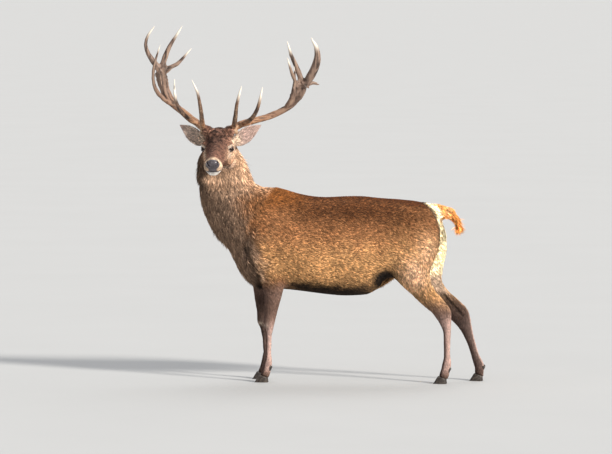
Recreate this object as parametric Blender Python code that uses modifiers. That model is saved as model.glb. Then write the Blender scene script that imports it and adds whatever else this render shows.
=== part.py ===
"""Red deer stag, a still life-size model: it stands square and looks round to its left.

The stag faces -X with its left side towards -Y, and +Z is up. The origin is the middle of the
footprint, on the floor. The flesh is modelled whole, as rings swept along the neck, trunk and legs
with the larger muscles over them, joined to one surface and parted with thin cuts. The surface is
that of the coat's tips. All sizes are metres.
"""
import math

import bmesh
import bpy
import numpy as np
from mathutils import Matrix, Vector

GAP = 0.0003                 # left between neighbouring pieces, across a plane
ROUND_GAP = 0.00045          # the same where they meet in a rounded face
LEFT, RIGHT = -1.0, 1.0      # the sign of y on each side of the body

# Driving dimensions of the animal
WITHERS_HEIGHT = 1.225       # top of the shoulders above the floor, on the coat
BELLY_HEIGHT = 0.532         # lowest point of the belly
BARREL_HALF_WIDTH = 0.238
FORE_TRACK = 0.122           # middle plane to the middle of a foreleg
HIND_TRACK = 0.120
HEAD_PITCH = math.radians(17)    # the line of the face below level
HEAD_MIDDLE = Vector((-0.693, -0.120, 1.453))   # halfway between the eyes
EYE_RADIUS = 0.021
EYE_PLACE = Vector((0.000, 0.080, 0.000))       # forward, aside and up from the head's middle
EAR_LENGTH = 0.200
EAR_HALF_WIDTH = 0.047
EAR_THICKNESS = 0.007
CORONET_HEIGHT = 0.056       # top of the hoof at its front
HOOF_LENGTH = 0.088
CLAW_HALF_WIDTH = 0.0175
CLEFT = 0.003                # between the two claws of a foot
DEWCLAW_SETBACK = 0.060      # behind the middle of the sole

BURR_RADIUS = 0.036          # the knobbly ring at an antler's root

BODY_VOXEL = 0.012
HEAD_VOXEL = 0.006
BODY_TRIANGLES = 2200
HEAD_TRIANGLES = 950

for old in list(bpy.data.objects):
    bpy.data.objects.remove(old, do_unlink=True)
stag = bpy.data.collections.new("red_deer_stag")
cutters = bpy.data.collections.new("cutters")
for collection in (stag, cutters):
    bpy.context.scene.collection.children.link(collection)


def material(name, colour, roughness, metallic=0.0):
    made = bpy.data.materials.new(name)
    made.use_nodes = True
    shader = made.node_tree.nodes["Principled BSDF"]
    shader.inputs["Base Color"].default_value = (*colour, 1.0)
    shader.inputs["Roughness"].default_value = roughness
    shader.inputs["Metallic"].default_value = metallic
    made.diffuse_color = (*colour, 1.0)
    return made


COAT = material("coat", (0.30, 0.15, 0.07), 0.85)
MANE = material("mane", (0.22, 0.13, 0.08), 0.90)
FACE = material("face", (0.24, 0.16, 0.11), 0.80)
LEG = material("leg_coat", (0.26, 0.17, 0.12), 0.80)
TAIL = material("tail_coat", (0.45, 0.24, 0.10), 0.85)
EAR = material("ear_coat", (0.34, 0.24, 0.19), 0.80)
EYE = material("eye", (0.02, 0.012, 0.008), 0.08)
ANTLER = material("antler", (0.26, 0.19, 0.14), 0.60)
HORN = material("hoof_horn", (0.05, 0.04, 0.035), 0.45)


def add(name, mesh, collection, mat=None):
    made = bpy.data.objects.new(name, mesh)
    collection.objects.link(made)
    if mat:
        mesh.materials.clear()
        mesh.materials.append(mat)
    if collection is cutters:
        made.hide_render = True
        made.display_type = "WIRE"
    return made


def applied(thing):
    """Turn an object's modifiers into its own mesh."""
    bpy.context.view_layer.update()
    graph = bpy.context.evaluated_depsgraph_get()
    mesh = bpy.data.meshes.new_from_object(thing.evaluated_get(graph))
    thing.modifiers.clear()
    thing.data = mesh
    return thing


def smooth_row(row, steps):
    """Read a smooth curve through the rows of numbers, with this many steps between two of them."""
    row = np.array(row, float)
    padded = np.vstack([2 * row[0] - row[1], row, 2 * row[-1] - row[-2]])
    found = []
    for i in range(1, len(padded) - 2):
        before, here, after, beyond = padded[i - 1:i + 3]
        for t in np.arange(steps) / steps:
            found.append(0.5 * (2 * here + (after - before) * t
                                + (2 * before - 5 * here + 4 * after - beyond) * t ** 2
                                + (3 * here - before - 3 * after + beyond) * t ** 3))
    found.append(row[-1])
    return np.array(found)


def sweep(name, rings, sides=20, steps=3, collection=cutters, mat=None):
    """A closed body through rings that stand across it.

    Each ring is (front x, front z, back x, back z, y, half width, narrowing): the two points that
    it spans in the side view, where it lies from side to side, its half width, and how much
    narrower it is towards its front point.
    """
    form = bmesh.new()
    loops = []
    for front_x, front_z, back_x, back_z, y, half_width, narrowing in smooth_row(rings, steps):
        middle = Vector(((front_x + back_x) / 2, y, (front_z + back_z) / 2))
        half = Vector(((front_x - back_x) / 2, 0, (front_z - back_z) / 2))
        loop = []
        for i in range(sides):
            angle = 2 * math.pi * i / sides
            along, across = math.cos(angle), math.sin(angle)
            width = half_width * (1 - narrowing * along)
            loop.append(form.verts.new(middle + half * along + Vector((0, across * width, 0))))
        loops.append(loop)
    for lower, upper in zip(loops, loops[1:]):
        for i in range(sides):
            j = (i + 1) % sides
            form.faces.new((lower[i], lower[j], upper[j], upper[i]))
    form.faces.new(loops[0][::-1])
    form.faces.new(loops[-1])
    bmesh.ops.recalc_face_normals(form, faces=form.faces)
    mesh = bpy.data.meshes.new(name)
    form.to_mesh(mesh)
    form.free()
    return add(name, mesh, collection, mat)


def muscle(name, place, radii, turn=(0, 0, 0)):
    """An egg-shaped swelling: its place, three radii and its turn in degrees."""
    form = bmesh.new()
    bmesh.ops.create_uvsphere(form, u_segments=12, v_segments=8, radius=1.0)
    stretch = Matrix.Diagonal((*radii, 1.0))
    turned = Matrix.Rotation(math.radians(turn[2]), 4, "Z") @ Matrix.Rotation(
        math.radians(turn[1]), 4, "Y") @ Matrix.Rotation(math.radians(turn[0]), 4, "X")
    form.transform(Matrix.Translation(place) @ turned @ stretch)
    mesh = bpy.data.meshes.new(name)
    form.to_mesh(mesh)
    form.free()
    return add(name, mesh, cutters)


def joined(name, pieces, voxel, smoothing, triangles, mat):
    """Join overlapping pieces to one closed surface with few faces."""
    whole = bmesh.new()
    for piece in pieces:
        whole.from_mesh(piece.data)
        bpy.data.objects.remove(piece, do_unlink=True)
    mesh = bpy.data.meshes.new(name)
    whole.to_mesh(mesh)
    whole.free()
    body = add(name, mesh, stag, mat)
    remesh = body.modifiers.new("join", "REMESH")
    remesh.mode = "VOXEL"
    remesh.voxel_size = voxel
    blend = body.modifiers.new("blend", "SMOOTH")
    blend.factor = 0.6
    blend.iterations = smoothing
    applied(body)
    count = sum(len(face.vertices) - 2 for face in body.data.polygons)
    fewer = body.modifiers.new("fewer", "DECIMATE")
    fewer.ratio = triangles / count
    applied(body)
    body.data.materials.clear()
    body.data.materials.append(mat)
    return body


def box(name, low, high, place=(0, 0, 0), turn_y=0.0, turn_x=0.0, grow=0.0):
    """A block between two corners, turned in degrees about the Y or X line through a place."""
    form = bmesh.new()
    bmesh.ops.create_cube(form, size=1.0)
    low, high = Vector(low) - Vector((grow,) * 3), Vector(high) + Vector((grow,) * 3)
    size = high - low
    form.transform(Matrix.Translation((low + high) / 2) @ Matrix.Diagonal((*size, 1.0)))
    form.transform(Matrix.Translation(place) @ Matrix.Rotation(math.radians(turn_y), 4, "Y")
                   @ Matrix.Rotation(math.radians(turn_x), 4, "X"))
    mesh = bpy.data.meshes.new(name)
    form.to_mesh(mesh)
    form.free()
    return add(name, mesh, cutters)


def cut(thing, cutter, operation="DIFFERENCE"):
    """Cut with the exact solver, or with the manifold one where that loses the piece."""
    before = thing.data
    for solver in ("EXACT", "MANIFOLD"):
        carve = thing.modifiers.new("cut", "BOOLEAN")
        carve.operation = operation
        carve.object = cutter
        carve.solver = solver
        applied(thing)
        if len(thing.data.polygons) > 0:
            break
        thing.data = before
    return thing


def part_off(body, name, mat, low, high, **turned):
    """Part what lies in a block from the body, as a new object, across a thin gap."""
    piece = add(name, body.data.copy(), stag, mat)
    inner = box(name + "_inside", low, high, **turned)
    outer = box(name + "_outside", low, high, grow=GAP, **turned)
    cut(piece, inner, "INTERSECT")
    cut(body, outer, "DIFFERENCE")
    for block in (inner, outer):
        bpy.data.objects.remove(block, do_unlink=True)
    return piece


def grown(thing, by):
    """A copy of a body, larger all round, to cut its neighbours with."""
    form = bmesh.new()
    form.from_mesh(thing.data)
    form.normal_update()
    for vertex in form.verts:
        vertex.co += vertex.normal * by * min(2.0, vertex.calc_shell_factor())
    mesh = bpy.data.meshes.new(thing.name + "_grown")
    form.to_mesh(mesh)
    form.free()
    return add(thing.name + "_grown", mesh, cutters)


def keep_largest(thing):
    """Drop the crumbs that a cut leaves."""
    form = bmesh.new()
    form.from_mesh(thing.data)
    unseen, islands = set(form.verts), []
    while unseen:
        reached, edge = set(), [next(iter(unseen))]
        while edge:
            vertex = edge.pop()
            if vertex in unseen:
                unseen.discard(vertex)
                reached.add(vertex)
                edge.extend(link.other_vert(vertex) for link in vertex.link_edges)
        islands.append(reached)
    islands.sort(key=len)
    for crumb in islands[:-1]:
        bmesh.ops.delete(form, geom=list(crumb), context="VERTS")
    form.to_mesh(thing.data)
    form.free()
    return thing


def trim(thing, *neighbours):
    """Cut a body back to a thin gap from its neighbours."""
    for neighbour in neighbours:
        cutter = grown(neighbour, ROUND_GAP)
        cut(thing, cutter)
        bpy.data.objects.remove(cutter, do_unlink=True)
    return keep_largest(thing)


# ---------------------------------------------------------------- trunk, neck and tail
def trunk_pieces():
    barrel = BARREL_HALF_WIDTH
    # x, height of the back, height of the belly, share of the barrel's width, narrowing upwards
    stations = [
        (-0.540, 1.130, 0.660, 0.50, 0.10),
        (-0.480, 1.200, 0.600, 0.64, 0.14),
        (-0.400, WITHERS_HEIGHT, 0.578, 0.76, 0.22),
        (-0.300, 1.210, 0.572, 0.84, 0.24),
        (-0.180, 1.174, 0.560, 0.91, 0.20),
        (-0.060, 1.157, 0.545, 0.975, 0.18),
        (0.080, 1.162, BELLY_HEIGHT, 1.00, 0.18),
        (0.200, 1.164, 0.540, 0.97, 0.18),
        (0.310, 1.153, 0.580, 0.90, 0.16),
        (0.420, 1.146, 0.660, 0.82, 0.14),
        (0.520, 1.137, 0.745, 0.74, 0.16),
        (0.600, 1.120, 0.820, 0.60, 0.18),
        (0.665, 1.075, 0.880, 0.40, 0.10),
    ]
    rings = [(x, top, x, belly, 0.0, share * barrel, narrowing)
             for x, top, belly, share, narrowing in stations]
    pieces = [sweep("barrel", rings, sides=28)]
    pieces.append(muscle("sheath", (0.205, 0, 0.556), (0.060, 0.022, 0.026), (0, 8, 0)))
    pieces.append(muscle("scrotum", (0.455, 0, 0.665), (0.034, 0.034, 0.060)))
    for side in (LEFT, RIGHT):
        pieces.append(muscle("shoulder", (-0.395, side * 0.105, 0.960), (0.105, 0.090, 0.215), (0, 24, 0)))
        pieces.append(muscle("upper_arm", (-0.435, side * 0.120, 0.745), (0.095, 0.068, 0.110), (0, -30, 0)))
        pieces.append(muscle("haunch", (0.530, side * 0.090, 0.960), (0.165, 0.106, 0.165), (0, 0, 0)))
    return pieces


def neck_pieces():
    """The throat edge comes first in each ring; the lowest rings are the brisket."""
    rings = [
        (-0.440, 0.585, -0.100, 0.800, 0.000, 0.130, 0.30),
        (-0.535, 0.645, -0.200, 0.900, 0.000, 0.150, 0.30),
        (-0.600, 0.735, -0.250, 1.000, 0.000, 0.160, 0.30),
        (-0.650, 0.830, -0.280, 1.090, 0.000, 0.162, 0.26),
        (-0.745, 0.935, -0.345, 1.180, 0.000, 0.152, 0.18),
        (-0.806, 1.075, -0.440, 1.226, 0.000, 0.142, 0.10),
        (-0.830, 1.206, -0.487, 1.272, 0.000, 0.134, 0.04),
        (-0.834, 1.306, -0.522, 1.337, 0.004, 0.127, 0.00),
        (-0.826, 1.394, -0.556, 1.406, 0.012, 0.114, 0.00),
        (-0.806, 1.462, -0.578, 1.475, 0.020, 0.100, 0.00),
        (-0.784, 1.518, -0.602, 1.526, 0.016, 0.078, 0.00),
        (-0.752, 1.552, -0.634, 1.556, -0.004, 0.046, 0.00),
    ]
    return [sweep("neck_and_brisket", rings, sides=24)]


def tail_pieces():
    rings = [
        (0.590, 1.110, 0.630, 1.010, 0.0, 0.045, 0.0),
        (0.655, 1.119, 0.690, 1.020, 0.0, 0.044, 0.0),
        (0.720, 1.103, 0.738, 1.012, 0.0, 0.040, 0.0),
        (0.772, 1.080, 0.768, 0.995, 0.0, 0.036, 0.0),
        (0.808, 1.048, 0.783, 0.975, 0.0, 0.032, 0.0),
        (0.824, 1.000, 0.795, 0.956, 0.0, 0.026, 0.0),
        (0.820, 0.945, 0.808, 0.934, 0.0, 0.012, 0.0),
    ]
    return [sweep("tail_whole", rings, sides=16)]


# ---------------------------------------------------------------- legs
# front x, front z, back x, back z, offset outwards from the track, half width
FORELEG_LEFT = [
    (-0.490, 0.800, -0.280, 0.800, 0.000, 0.062),
    (-0.470, 0.700, -0.258, 0.705, 0.006, 0.058),
    (-0.425, 0.620, -0.262, 0.640, 0.006, 0.051),
    (-0.406, 0.550, -0.279, 0.562, 0.004, 0.042),
    (-0.403, 0.470, -0.302, 0.478, 0.002, 0.036),
    (-0.404, 0.412, -0.320, 0.412, 0.000, 0.033),
    (-0.407, 0.366, -0.332, 0.366, 0.000, 0.035),
    (-0.399, 0.320, -0.345, 0.320, 0.000, 0.029),
    (-0.394, 0.260, -0.352, 0.260, 0.000, 0.023),
    (-0.394, 0.170, -0.352, 0.170, 0.000, 0.023),
    (-0.403, 0.122, -0.346, 0.126, 0.000, 0.029),
    (-0.416, 0.078, -0.358, 0.066, 0.000, 0.028),
    (-0.436, 0.035, -0.368, 0.018, 0.000, 0.029),
]
FORELEG_RIGHT = [
    (-0.515, 0.800, -0.300, 0.800, 0.000, 0.062),
    (-0.515, 0.700, -0.295, 0.705, 0.006, 0.058),
    (-0.508, 0.620, -0.335, 0.640, 0.006, 0.051),
    (-0.500, 0.550, -0.368, 0.558, 0.004, 0.042),
    (-0.486, 0.470, -0.386, 0.474, 0.002, 0.036),
    (-0.476, 0.410, -0.393, 0.410, 0.000, 0.033),
    (-0.472, 0.362, -0.397, 0.362, 0.000, 0.035),
    (-0.457, 0.316, -0.403, 0.316, 0.000, 0.029),
    (-0.443, 0.256, -0.401, 0.256, 0.000, 0.023),
    (-0.438, 0.170, -0.396, 0.170, 0.000, 0.023),
    (-0.446, 0.122, -0.389, 0.126, 0.000, 0.029),
    (-0.458, 0.078, -0.400, 0.066, 0.000, 0.028),
    (-0.478, 0.035, -0.410, 0.018, 0.000, 0.029),
]
HINDLEG_LEFT = [
    (0.410, 1.040, 0.640, 1.060, -0.035, 0.085),
    (0.378, 0.930, 0.702, 0.950, -0.015, 0.094),
    (0.358, 0.800, 0.694, 0.830, 0.002, 0.086),
    (0.378, 0.700, 0.652, 0.735, 0.004, 0.070),
    (0.445, 0.612, 0.640, 0.676, 0.003, 0.054),
    (0.512, 0.555, 0.650, 0.628, 0.000, 0.046),
    (0.575, 0.492, 0.678, 0.575, 0.000, 0.038),
    (0.637, 0.440, 0.728, 0.518, 0.000, 0.033),
    (0.684, 0.388, 0.768, 0.468, 0.000, 0.035),
    (0.712, 0.325, 0.770, 0.388, 0.000, 0.030),
    (0.718, 0.256, 0.766, 0.270, 0.000, 0.025),
    (0.718, 0.165, 0.766, 0.170, 0.000, 0.025),
    (0.708, 0.116, 0.771, 0.124, 0.000, 0.031),
    (0.698, 0.076, 0.760, 0.064, 0.000, 0.029),
    (0.680, 0.035, 0.748, 0.018, 0.000, 0.030),
]
HINDLEG_RIGHT = [
    (0.410, 1.040, 0.640, 1.060, -0.035, 0.085),
    (0.385, 0.930, 0.712, 0.950, -0.015, 0.094),
    (0.375, 0.800, 0.718, 0.826, 0.002, 0.086),
    (0.405, 0.695, 0.698, 0.730, 0.004, 0.070),
    (0.470, 0.603, 0.692, 0.668, 0.003, 0.054),
    (0.545, 0.538, 0.702, 0.610, 0.000, 0.046),
    (0.620, 0.475, 0.744, 0.560, 0.000, 0.038),
    (0.696, 0.420, 0.808, 0.506, 0.000, 0.033),
    (0.764, 0.364, 0.858, 0.450, 0.000, 0.035),
    (0.812, 0.305, 0.877, 0.366, 0.000, 0.030),
    (0.848, 0.230, 0.900, 0.254, 0.000, 0.025),
    (0.874, 0.150, 0.926, 0.168, 0.000, 0.025),
    (0.890, 0.098, 0.953, 0.118, 0.000, 0.031),
    (0.896, 0.064, 0.958, 0.060, 0.000, 0.029),
    (0.888, 0.032, 0.955, 0.018, 0.000, 0.030),
]
LEGS = {
    "foreleg_left": (FORELEG_LEFT, LEFT, FORE_TRACK),
    "foreleg_right": (FORELEG_RIGHT, RIGHT, FORE_TRACK),
    "hindleg_left": (HINDLEG_LEFT, LEFT, HIND_TRACK),
    "hindleg_right": (HINDLEG_RIGHT, RIGHT, HIND_TRACK),
}


def leg_pieces():
    pieces = []
    for name, (stations, side, track) in LEGS.items():
        rings = [(fx, fz, bx, bz, side * (track + out), half_width, 0.08)
                 for fx, fz, bx, bz, out, half_width in stations]
        pieces.append(sweep(name + "_whole", rings, sides=16))
    return pieces


# ---------------------------------------------------------------- head
def on_head(forward, aside, up):
    """A place on the head, from its middle: forward to the nose, aside to its left (+X), and up."""
    down, level = math.sin(HEAD_PITCH), math.cos(HEAD_PITCH)
    return HEAD_MIDDLE + Vector((aside, -forward * level - up * down, -forward * down + up * level))


def head_matrix():
    """From a head lying along -X, with +Z up, to its place."""
    return (Matrix.Translation(HEAD_MIDDLE) @ Matrix.Rotation(math.radians(90), 4, "Z")
            @ Matrix.Rotation(-HEAD_PITCH, 4, "Y"))


def head_pieces():
    # forward, top, bottom, half width, narrowing upwards
    stations = [
        (-0.215, 0.000, -0.130, 0.068, 0.00),
        (-0.180, 0.046, -0.155, 0.086, 0.06),
        (-0.132, 0.094, -0.158, 0.098, 0.10),
        (-0.085, 0.103, -0.150, 0.098, 0.06),
        (-0.040, 0.092, -0.140, 0.092, 0.00),
        (0.000, 0.076, -0.126, 0.086, -0.08),
        (0.045, 0.060, -0.110, 0.074, -0.06),
        (0.090, 0.048, -0.099, 0.060, 0.00),
        (0.140, 0.041, -0.091, 0.051, 0.05),
        (0.185, 0.036, -0.088, 0.052, 0.08),
        (0.225, 0.030, -0.086, 0.058, 0.10),
        (0.252, 0.018, -0.074, 0.052, 0.05),
        (0.268, 0.002, -0.050, 0.036, 0.00),
    ]
    rings = [(-f, top, -f, bottom, 0.0, half_width, narrowing)
             for f, top, bottom, half_width, narrowing in stations]
    pieces = [sweep("skull", rings, sides=24)]
    for side in (-1.0, 1.0):
        pieces += [
            muscle("brow", (0.010, side * 0.074, 0.026), (0.040, 0.026, 0.020)),
            muscle("jaw_muscle", (0.055, side * 0.062, -0.068), (0.075, 0.036, 0.062)),
            muscle("ear_root", (0.104, side * 0.098, 0.022), (0.026, 0.040, 0.025), (side * 30, 0, 0)),
            muscle("pedicle", (0.084, side * 0.068, 0.086), (0.034, 0.031, 0.034), (side * -34, 0, 0)),
            muscle("nostril_wing", (-0.240, side * 0.030, -0.010), (0.026, 0.020, 0.022)),
        ]
    pieces.append(muscle("nose_pad", (-0.250, 0, -0.010), (0.026, 0.040, 0.030)))
    pieces.append(muscle("chin", (-0.222, 0, -0.072), (0.032, 0.040, 0.018)))
    place = head_matrix()
    for piece in pieces:
        piece.data.transform(place)
    return pieces


def eye(name, side):
    forward, aside, up = EYE_PLACE
    form = bmesh.new()
    bmesh.ops.create_uvsphere(form, u_segments=10, v_segments=7, radius=EYE_RADIUS)
    form.transform(Matrix.Translation(on_head(forward, side * aside, up)))
    mesh = bpy.data.meshes.new(name)
    form.to_mesh(mesh)
    form.free()
    return add(name, mesh, stag, EYE)


def ear(name, side):
    """A cupped leaf on the head's side, open to the front, cut back where it meets the head."""
    root = on_head(-0.100, side * 0.088, 0.006)
    along = Vector((side * 0.172, 0.060, 0.112)).normalized()
    facing = Vector((side * 0.10, -1.0, -0.16)).normalized()
    across = along.cross(facing).normalized()
    facing = across.cross(along).normalized()
    rows, columns = 7, 4
    form = bmesh.new()
    bmesh.ops.create_grid(form, x_segments=columns, y_segments=rows, size=1.0)
    for vertex in form.verts:
        t, s = vertex.co.x, (vertex.co.y + 1) / 2
        width = EAR_HALF_WIDTH * (0.46 + 0.54 * math.sin(math.pi * min(1.0, s * 1.02) ** 0.85)) * (
            1 - s ** 5) ** 0.6 + 0.0015
        roll = math.radians(100 - 52 * s) * t
        hollow = width * (1 - math.cos(roll)) * 0.9
        bend = 0.018 * math.sin(math.pi * s)
        vertex.co = (root + along * (s * EAR_LENGTH * 1.06) + across * (width * math.sin(roll))
                     + facing * (hollow - bend))
    bmesh.ops.recalc_face_normals(form, faces=form.faces)
    mesh = bpy.data.meshes.new(name)
    form.to_mesh(mesh)
    form.free()
    leaf = add(name, mesh, stag, EAR)
    shell = leaf.modifiers.new("thickness", "SOLIDIFY")
    shell.thickness = EAR_THICKNESS
    shell.offset = 0.0
    return applied(leaf)


# ---------------------------------------------------------------- antlers
def tube(name, points, sides=6, steps=2):
    """A tapering branch through (x, y, z, radius)."""
    rows = smooth_row(points, steps)
    shape = bpy.data.curves.new(name, "CURVE")
    shape.dimensions = "3D"
    shape.bevel_depth = 1.0
    shape.bevel_resolution = (sides - 4) // 2
    shape.use_fill_caps = True
    line = shape.splines.new("POLY")
    line.points.add(len(rows) - 1)
    for point, (x, y, z, radius) in zip(line.points, rows):
        point.co = (x, y, z, 1.0)
        point.radius = radius
    guide = bpy.data.objects.new(name + "_line", shape)
    cutters.objects.link(guide)
    bpy.context.view_layer.update()
    graph = bpy.context.evaluated_depsgraph_get()
    mesh = bpy.data.meshes.new_from_object(guide.evaluated_get(graph))
    bpy.data.objects.remove(guide, do_unlink=True)
    form = bmesh.new()
    form.from_mesh(mesh)
    bmesh.ops.remove_doubles(form, verts=form.verts, dist=0.00001)
    bmesh.ops.recalc_face_normals(form, faces=form.faces)
    form.to_mesh(mesh)
    form.free()
    return add(name, mesh, stag, ANTLER)


# Each branch is listed from its root to its tip: x, y, z and radius
ANTLER_LEFT = {
    "beam": [
        (-0.650, -0.064, 1.540, 0.022), (-0.606, -0.050, 1.576, 0.026), (-0.558, -0.006, 1.604, 0.023),
        (-0.500, 0.045, 1.620, 0.022), (-0.438, 0.080, 1.636, 0.021), (-0.375, 0.105, 1.657, 0.021),
        (-0.315, 0.118, 1.685, 0.021), (-0.264, 0.118, 1.717, 0.023), (-0.220, 0.105, 1.762, 0.026),
        (-0.190, 0.085, 1.820, 0.031), (-0.172, 0.065, 1.872, 0.028),
    ],
    "brow_tine": [
        (-0.602, -0.056, 1.582, 0.014), (-0.588, -0.108, 1.606, 0.016), (-0.574, -0.160, 1.668, 0.014),
        (-0.562, -0.190, 1.733, 0.011), (-0.547, -0.200, 1.792, 0.008), (-0.530, -0.200, 1.850, 0.0025),
    ],
    "bez_tine": [
        (-0.553, 0.000, 1.604, 0.014), (-0.518, -0.060, 1.618, 0.016), (-0.474, -0.110, 1.648, 0.014),
        (-0.441, -0.140, 1.700, 0.012), (-0.422, -0.150, 1.766, 0.009), (-0.406, -0.148, 1.842, 0.0025),
    ],
    "trez_tine": [
        (-0.292, 0.118, 1.700, 0.016), (-0.262, 0.075, 1.745, 0.014), (-0.238, 0.045, 1.796, 0.012),
        (-0.228, 0.028, 1.850, 0.010), (-0.224, 0.020, 1.910, 0.007), (-0.226, 0.018, 1.968, 0.0025),
    ],
    "crown_outer_tine": [
        (-0.164, 0.062, 1.850, 0.026), (-0.136, 0.050, 1.890, 0.027), (-0.106, 0.034, 1.940, 0.027),
        (-0.087, 0.020, 1.988, 0.025), (-0.080, 0.012, 2.036, 0.020), (-0.090, 0.006, 2.090, 0.014),
        (-0.122, 0.002, 2.146, 0.003),
    ],
    "crown_inner_tine": [
        (-0.182, 0.070, 1.850, 0.022), (-0.200, 0.062, 1.915, 0.018), (-0.224, 0.048, 1.980, 0.015),
        (-0.250, 0.034, 2.040, 0.011), (-0.271, 0.022, 2.126, 0.0025),
    ],
    "crown_front_tine": [
        (-0.198, 0.080, 1.812, 0.017), (-0.220, 0.030, 1.868, 0.013), (-0.241, -0.010, 1.930, 0.010),
        (-0.266, -0.030, 2.024, 0.0025),
    ],
    "crown_rear_snag": [
        (-0.170, 0.090, 1.845, 0.016), (-0.120, 0.115, 1.860, 0.013), (-0.080, 0.135, 1.846, 0.004),
    ],
}
ANTLER_RIGHT = {
    "beam": [
        (-0.736, -0.064, 1.540, 0.022), (-0.780, -0.050, 1.576, 0.026), (-0.828, -0.006, 1.606, 0.023),
        (-0.880, 0.045, 1.637, 0.022), (-0.934, 0.080, 1.675, 0.022), (-0.990, 0.105, 1.718, 0.024),
        (-1.034, 0.112, 1.772, 0.028), (-1.060, 0.108, 1.836, 0.032), (-1.072, 0.092, 1.905, 0.033),
        (-1.076, 0.075, 1.960, 0.026),
    ],
    "brow_tine": [
        (-0.784, -0.056, 1.582, 0.014), (-0.788, -0.108, 1.606, 0.016), (-0.788, -0.160, 1.672, 0.014),
        (-0.795, -0.192, 1.742, 0.011), (-0.808, -0.202, 1.808, 0.008), (-0.844, -0.204, 1.888, 0.0025),
    ],
    "bez_tine": [
        (-0.832, 0.000, 1.607, 0.014), (-0.866, -0.060, 1.628, 0.016), (-0.908, -0.108, 1.668, 0.014),
        (-0.942, -0.136, 1.726, 0.012), (-0.957, -0.146, 1.796, 0.009), (-0.958, -0.144, 1.888, 0.0025),
    ],
    "trez_tine": [
        (-0.972, 0.100, 1.700, 0.018), (-1.024, 0.066, 1.736, 0.015), (-1.078, 0.030, 1.786, 0.014),
        (-1.107, 0.004, 1.850, 0.012), (-1.110, -0.008, 1.930, 0.010), (-1.093, -0.012, 2.010, 0.007),
        (-1.064, -0.012, 2.102, 0.0025),
    ],
    "crown_front_tine": [
        (-1.076, 0.076, 1.930, 0.024), (-1.108, 0.062, 1.978, 0.020), (-1.148, 0.042, 2.040, 0.015),
        (-1.163, 0.028, 2.100, 0.011), (-1.145, 0.016, 2.160, 0.008), (-1.100, 0.010, 2.218, 0.0025),
    ],
    "crown_middle_tine": [
        (-1.070, 0.080, 1.930, 0.024), (-1.052, 0.086, 2.010, 0.018), (-1.022, 0.092, 2.084, 0.014),
        (-0.982, 0.096, 2.150, 0.009), (-0.938, 0.100, 2.218, 0.0025),
    ],
    "crown_inner_tine": [
        (-1.060, 0.090, 1.920, 0.020), (-1.022, 0.104, 1.954, 0.016), (-0.980, 0.118, 1.974, 0.013),
        (-0.940, 0.126, 2.014, 0.009), (-0.886, 0.132, 2.078, 0.0025),
    ],
}


def antler(side_name, branches, burr_place, lean, head):
    """A beam cut back to the head, then each tine cut back to the whole of all it grows from."""
    burr = muscle("burr_" + side_name, burr_place, (BURR_RADIUS, BURR_RADIUS, 0.013), (0, lean, 0))
    wholes = [head, burr]
    for name, points in branches.items():
        branch = tube("antler_" + side_name + "_" + name, points)
        whole = add(branch.name + "_whole", branch.data.copy(), cutters)
        if name == "beam":
            cut(branch, burr, "UNION")
            trim(branch, head)
        else:
            trim(branch, *wholes)
        wholes.append(whole)
    for guide in wholes[1:]:
        bpy.data.objects.remove(guide, do_unlink=True)


# ---------------------------------------------------------------- feet
# where each foot stands: x of the middle of its sole
FEET = {
    "fore_left": (-0.418, LEFT, FORE_TRACK, "foreleg_left_cannon"),
    "fore_right": (-0.460, RIGHT, FORE_TRACK, "foreleg_right_cannon"),
    "hind_left": (0.698, LEFT, HIND_TRACK, "hindleg_left_cannon"),
    "hind_right": (0.906, RIGHT, HIND_TRACK, "hindleg_right_cannon"),
}
CORONET_SLOPE = 16.0         # degrees, the top of the hoof falls towards the heel


def coronet_block(middle, y):
    """The block under the slanting top of a hoof."""
    reach = 0.16
    return {"low": (-reach, -0.058, -reach), "high": (reach, 0.058, 0.0),
            "place": (middle, y, CORONET_HEIGHT - 0.012), "turn_y": CORONET_SLOPE}


def claw(name, middle, y, inward, block):
    """One pointed half of a cloven hoof, flat below and slanting above."""
    half = HOOF_LENGTH / 2
    toe_slope = 0.62
    rings = []
    for height, width in ((0.0, 0.93), (0.012, 1.0), (0.032, 1.0), (0.070, 0.92)):
        rings.append((middle - half + toe_slope * height, height, middle + half - 0.10 * height, height,
                      y, CLAW_HALF_WIDTH * width, 0.34))
    piece = sweep(name, rings, sides=8, steps=1, collection=stag, mat=HORN)
    flat = box(name + "_under", block["low"], block["high"], place=block["place"], turn_y=block["turn_y"])
    cut(piece, flat, "INTERSECT")
    bpy.data.objects.remove(flat, do_unlink=True)
    cleft = box(name + "_cleft", (-0.2, -0.05, -0.1), (0.2, 0.05, 0.2),
                place=(middle, y + inward * (CLAW_HALF_WIDTH + 0.05 - 0.001), 0))
    cut(piece, cleft)
    bpy.data.objects.remove(cleft, do_unlink=True)
    return piece


def dewclaw(name, middle, y, height, leg):
    form = bmesh.new()
    bmesh.ops.create_uvsphere(form, u_segments=7, v_segments=5, radius=1.0)
    form.transform(Matrix.Translation((middle, y, height)) @ Matrix.Rotation(math.radians(24), 4, "Y")
                   @ Matrix.Diagonal((0.012, 0.010, 0.019, 1.0)))
    mesh = bpy.data.meshes.new(name)
    form.to_mesh(mesh)
    form.free()
    return trim(add(name, mesh, stag, HORN), leg)


# ---------------------------------------------------------------- assembly
body = joined("trunk", trunk_pieces() + neck_pieces() + tail_pieces() + leg_pieces(),
              BODY_VOXEL, 5, BODY_TRIANGLES, COAT)
head = joined("head", head_pieces(), HEAD_VOXEL, 3, HEAD_TRIANGLES, FACE)

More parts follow.
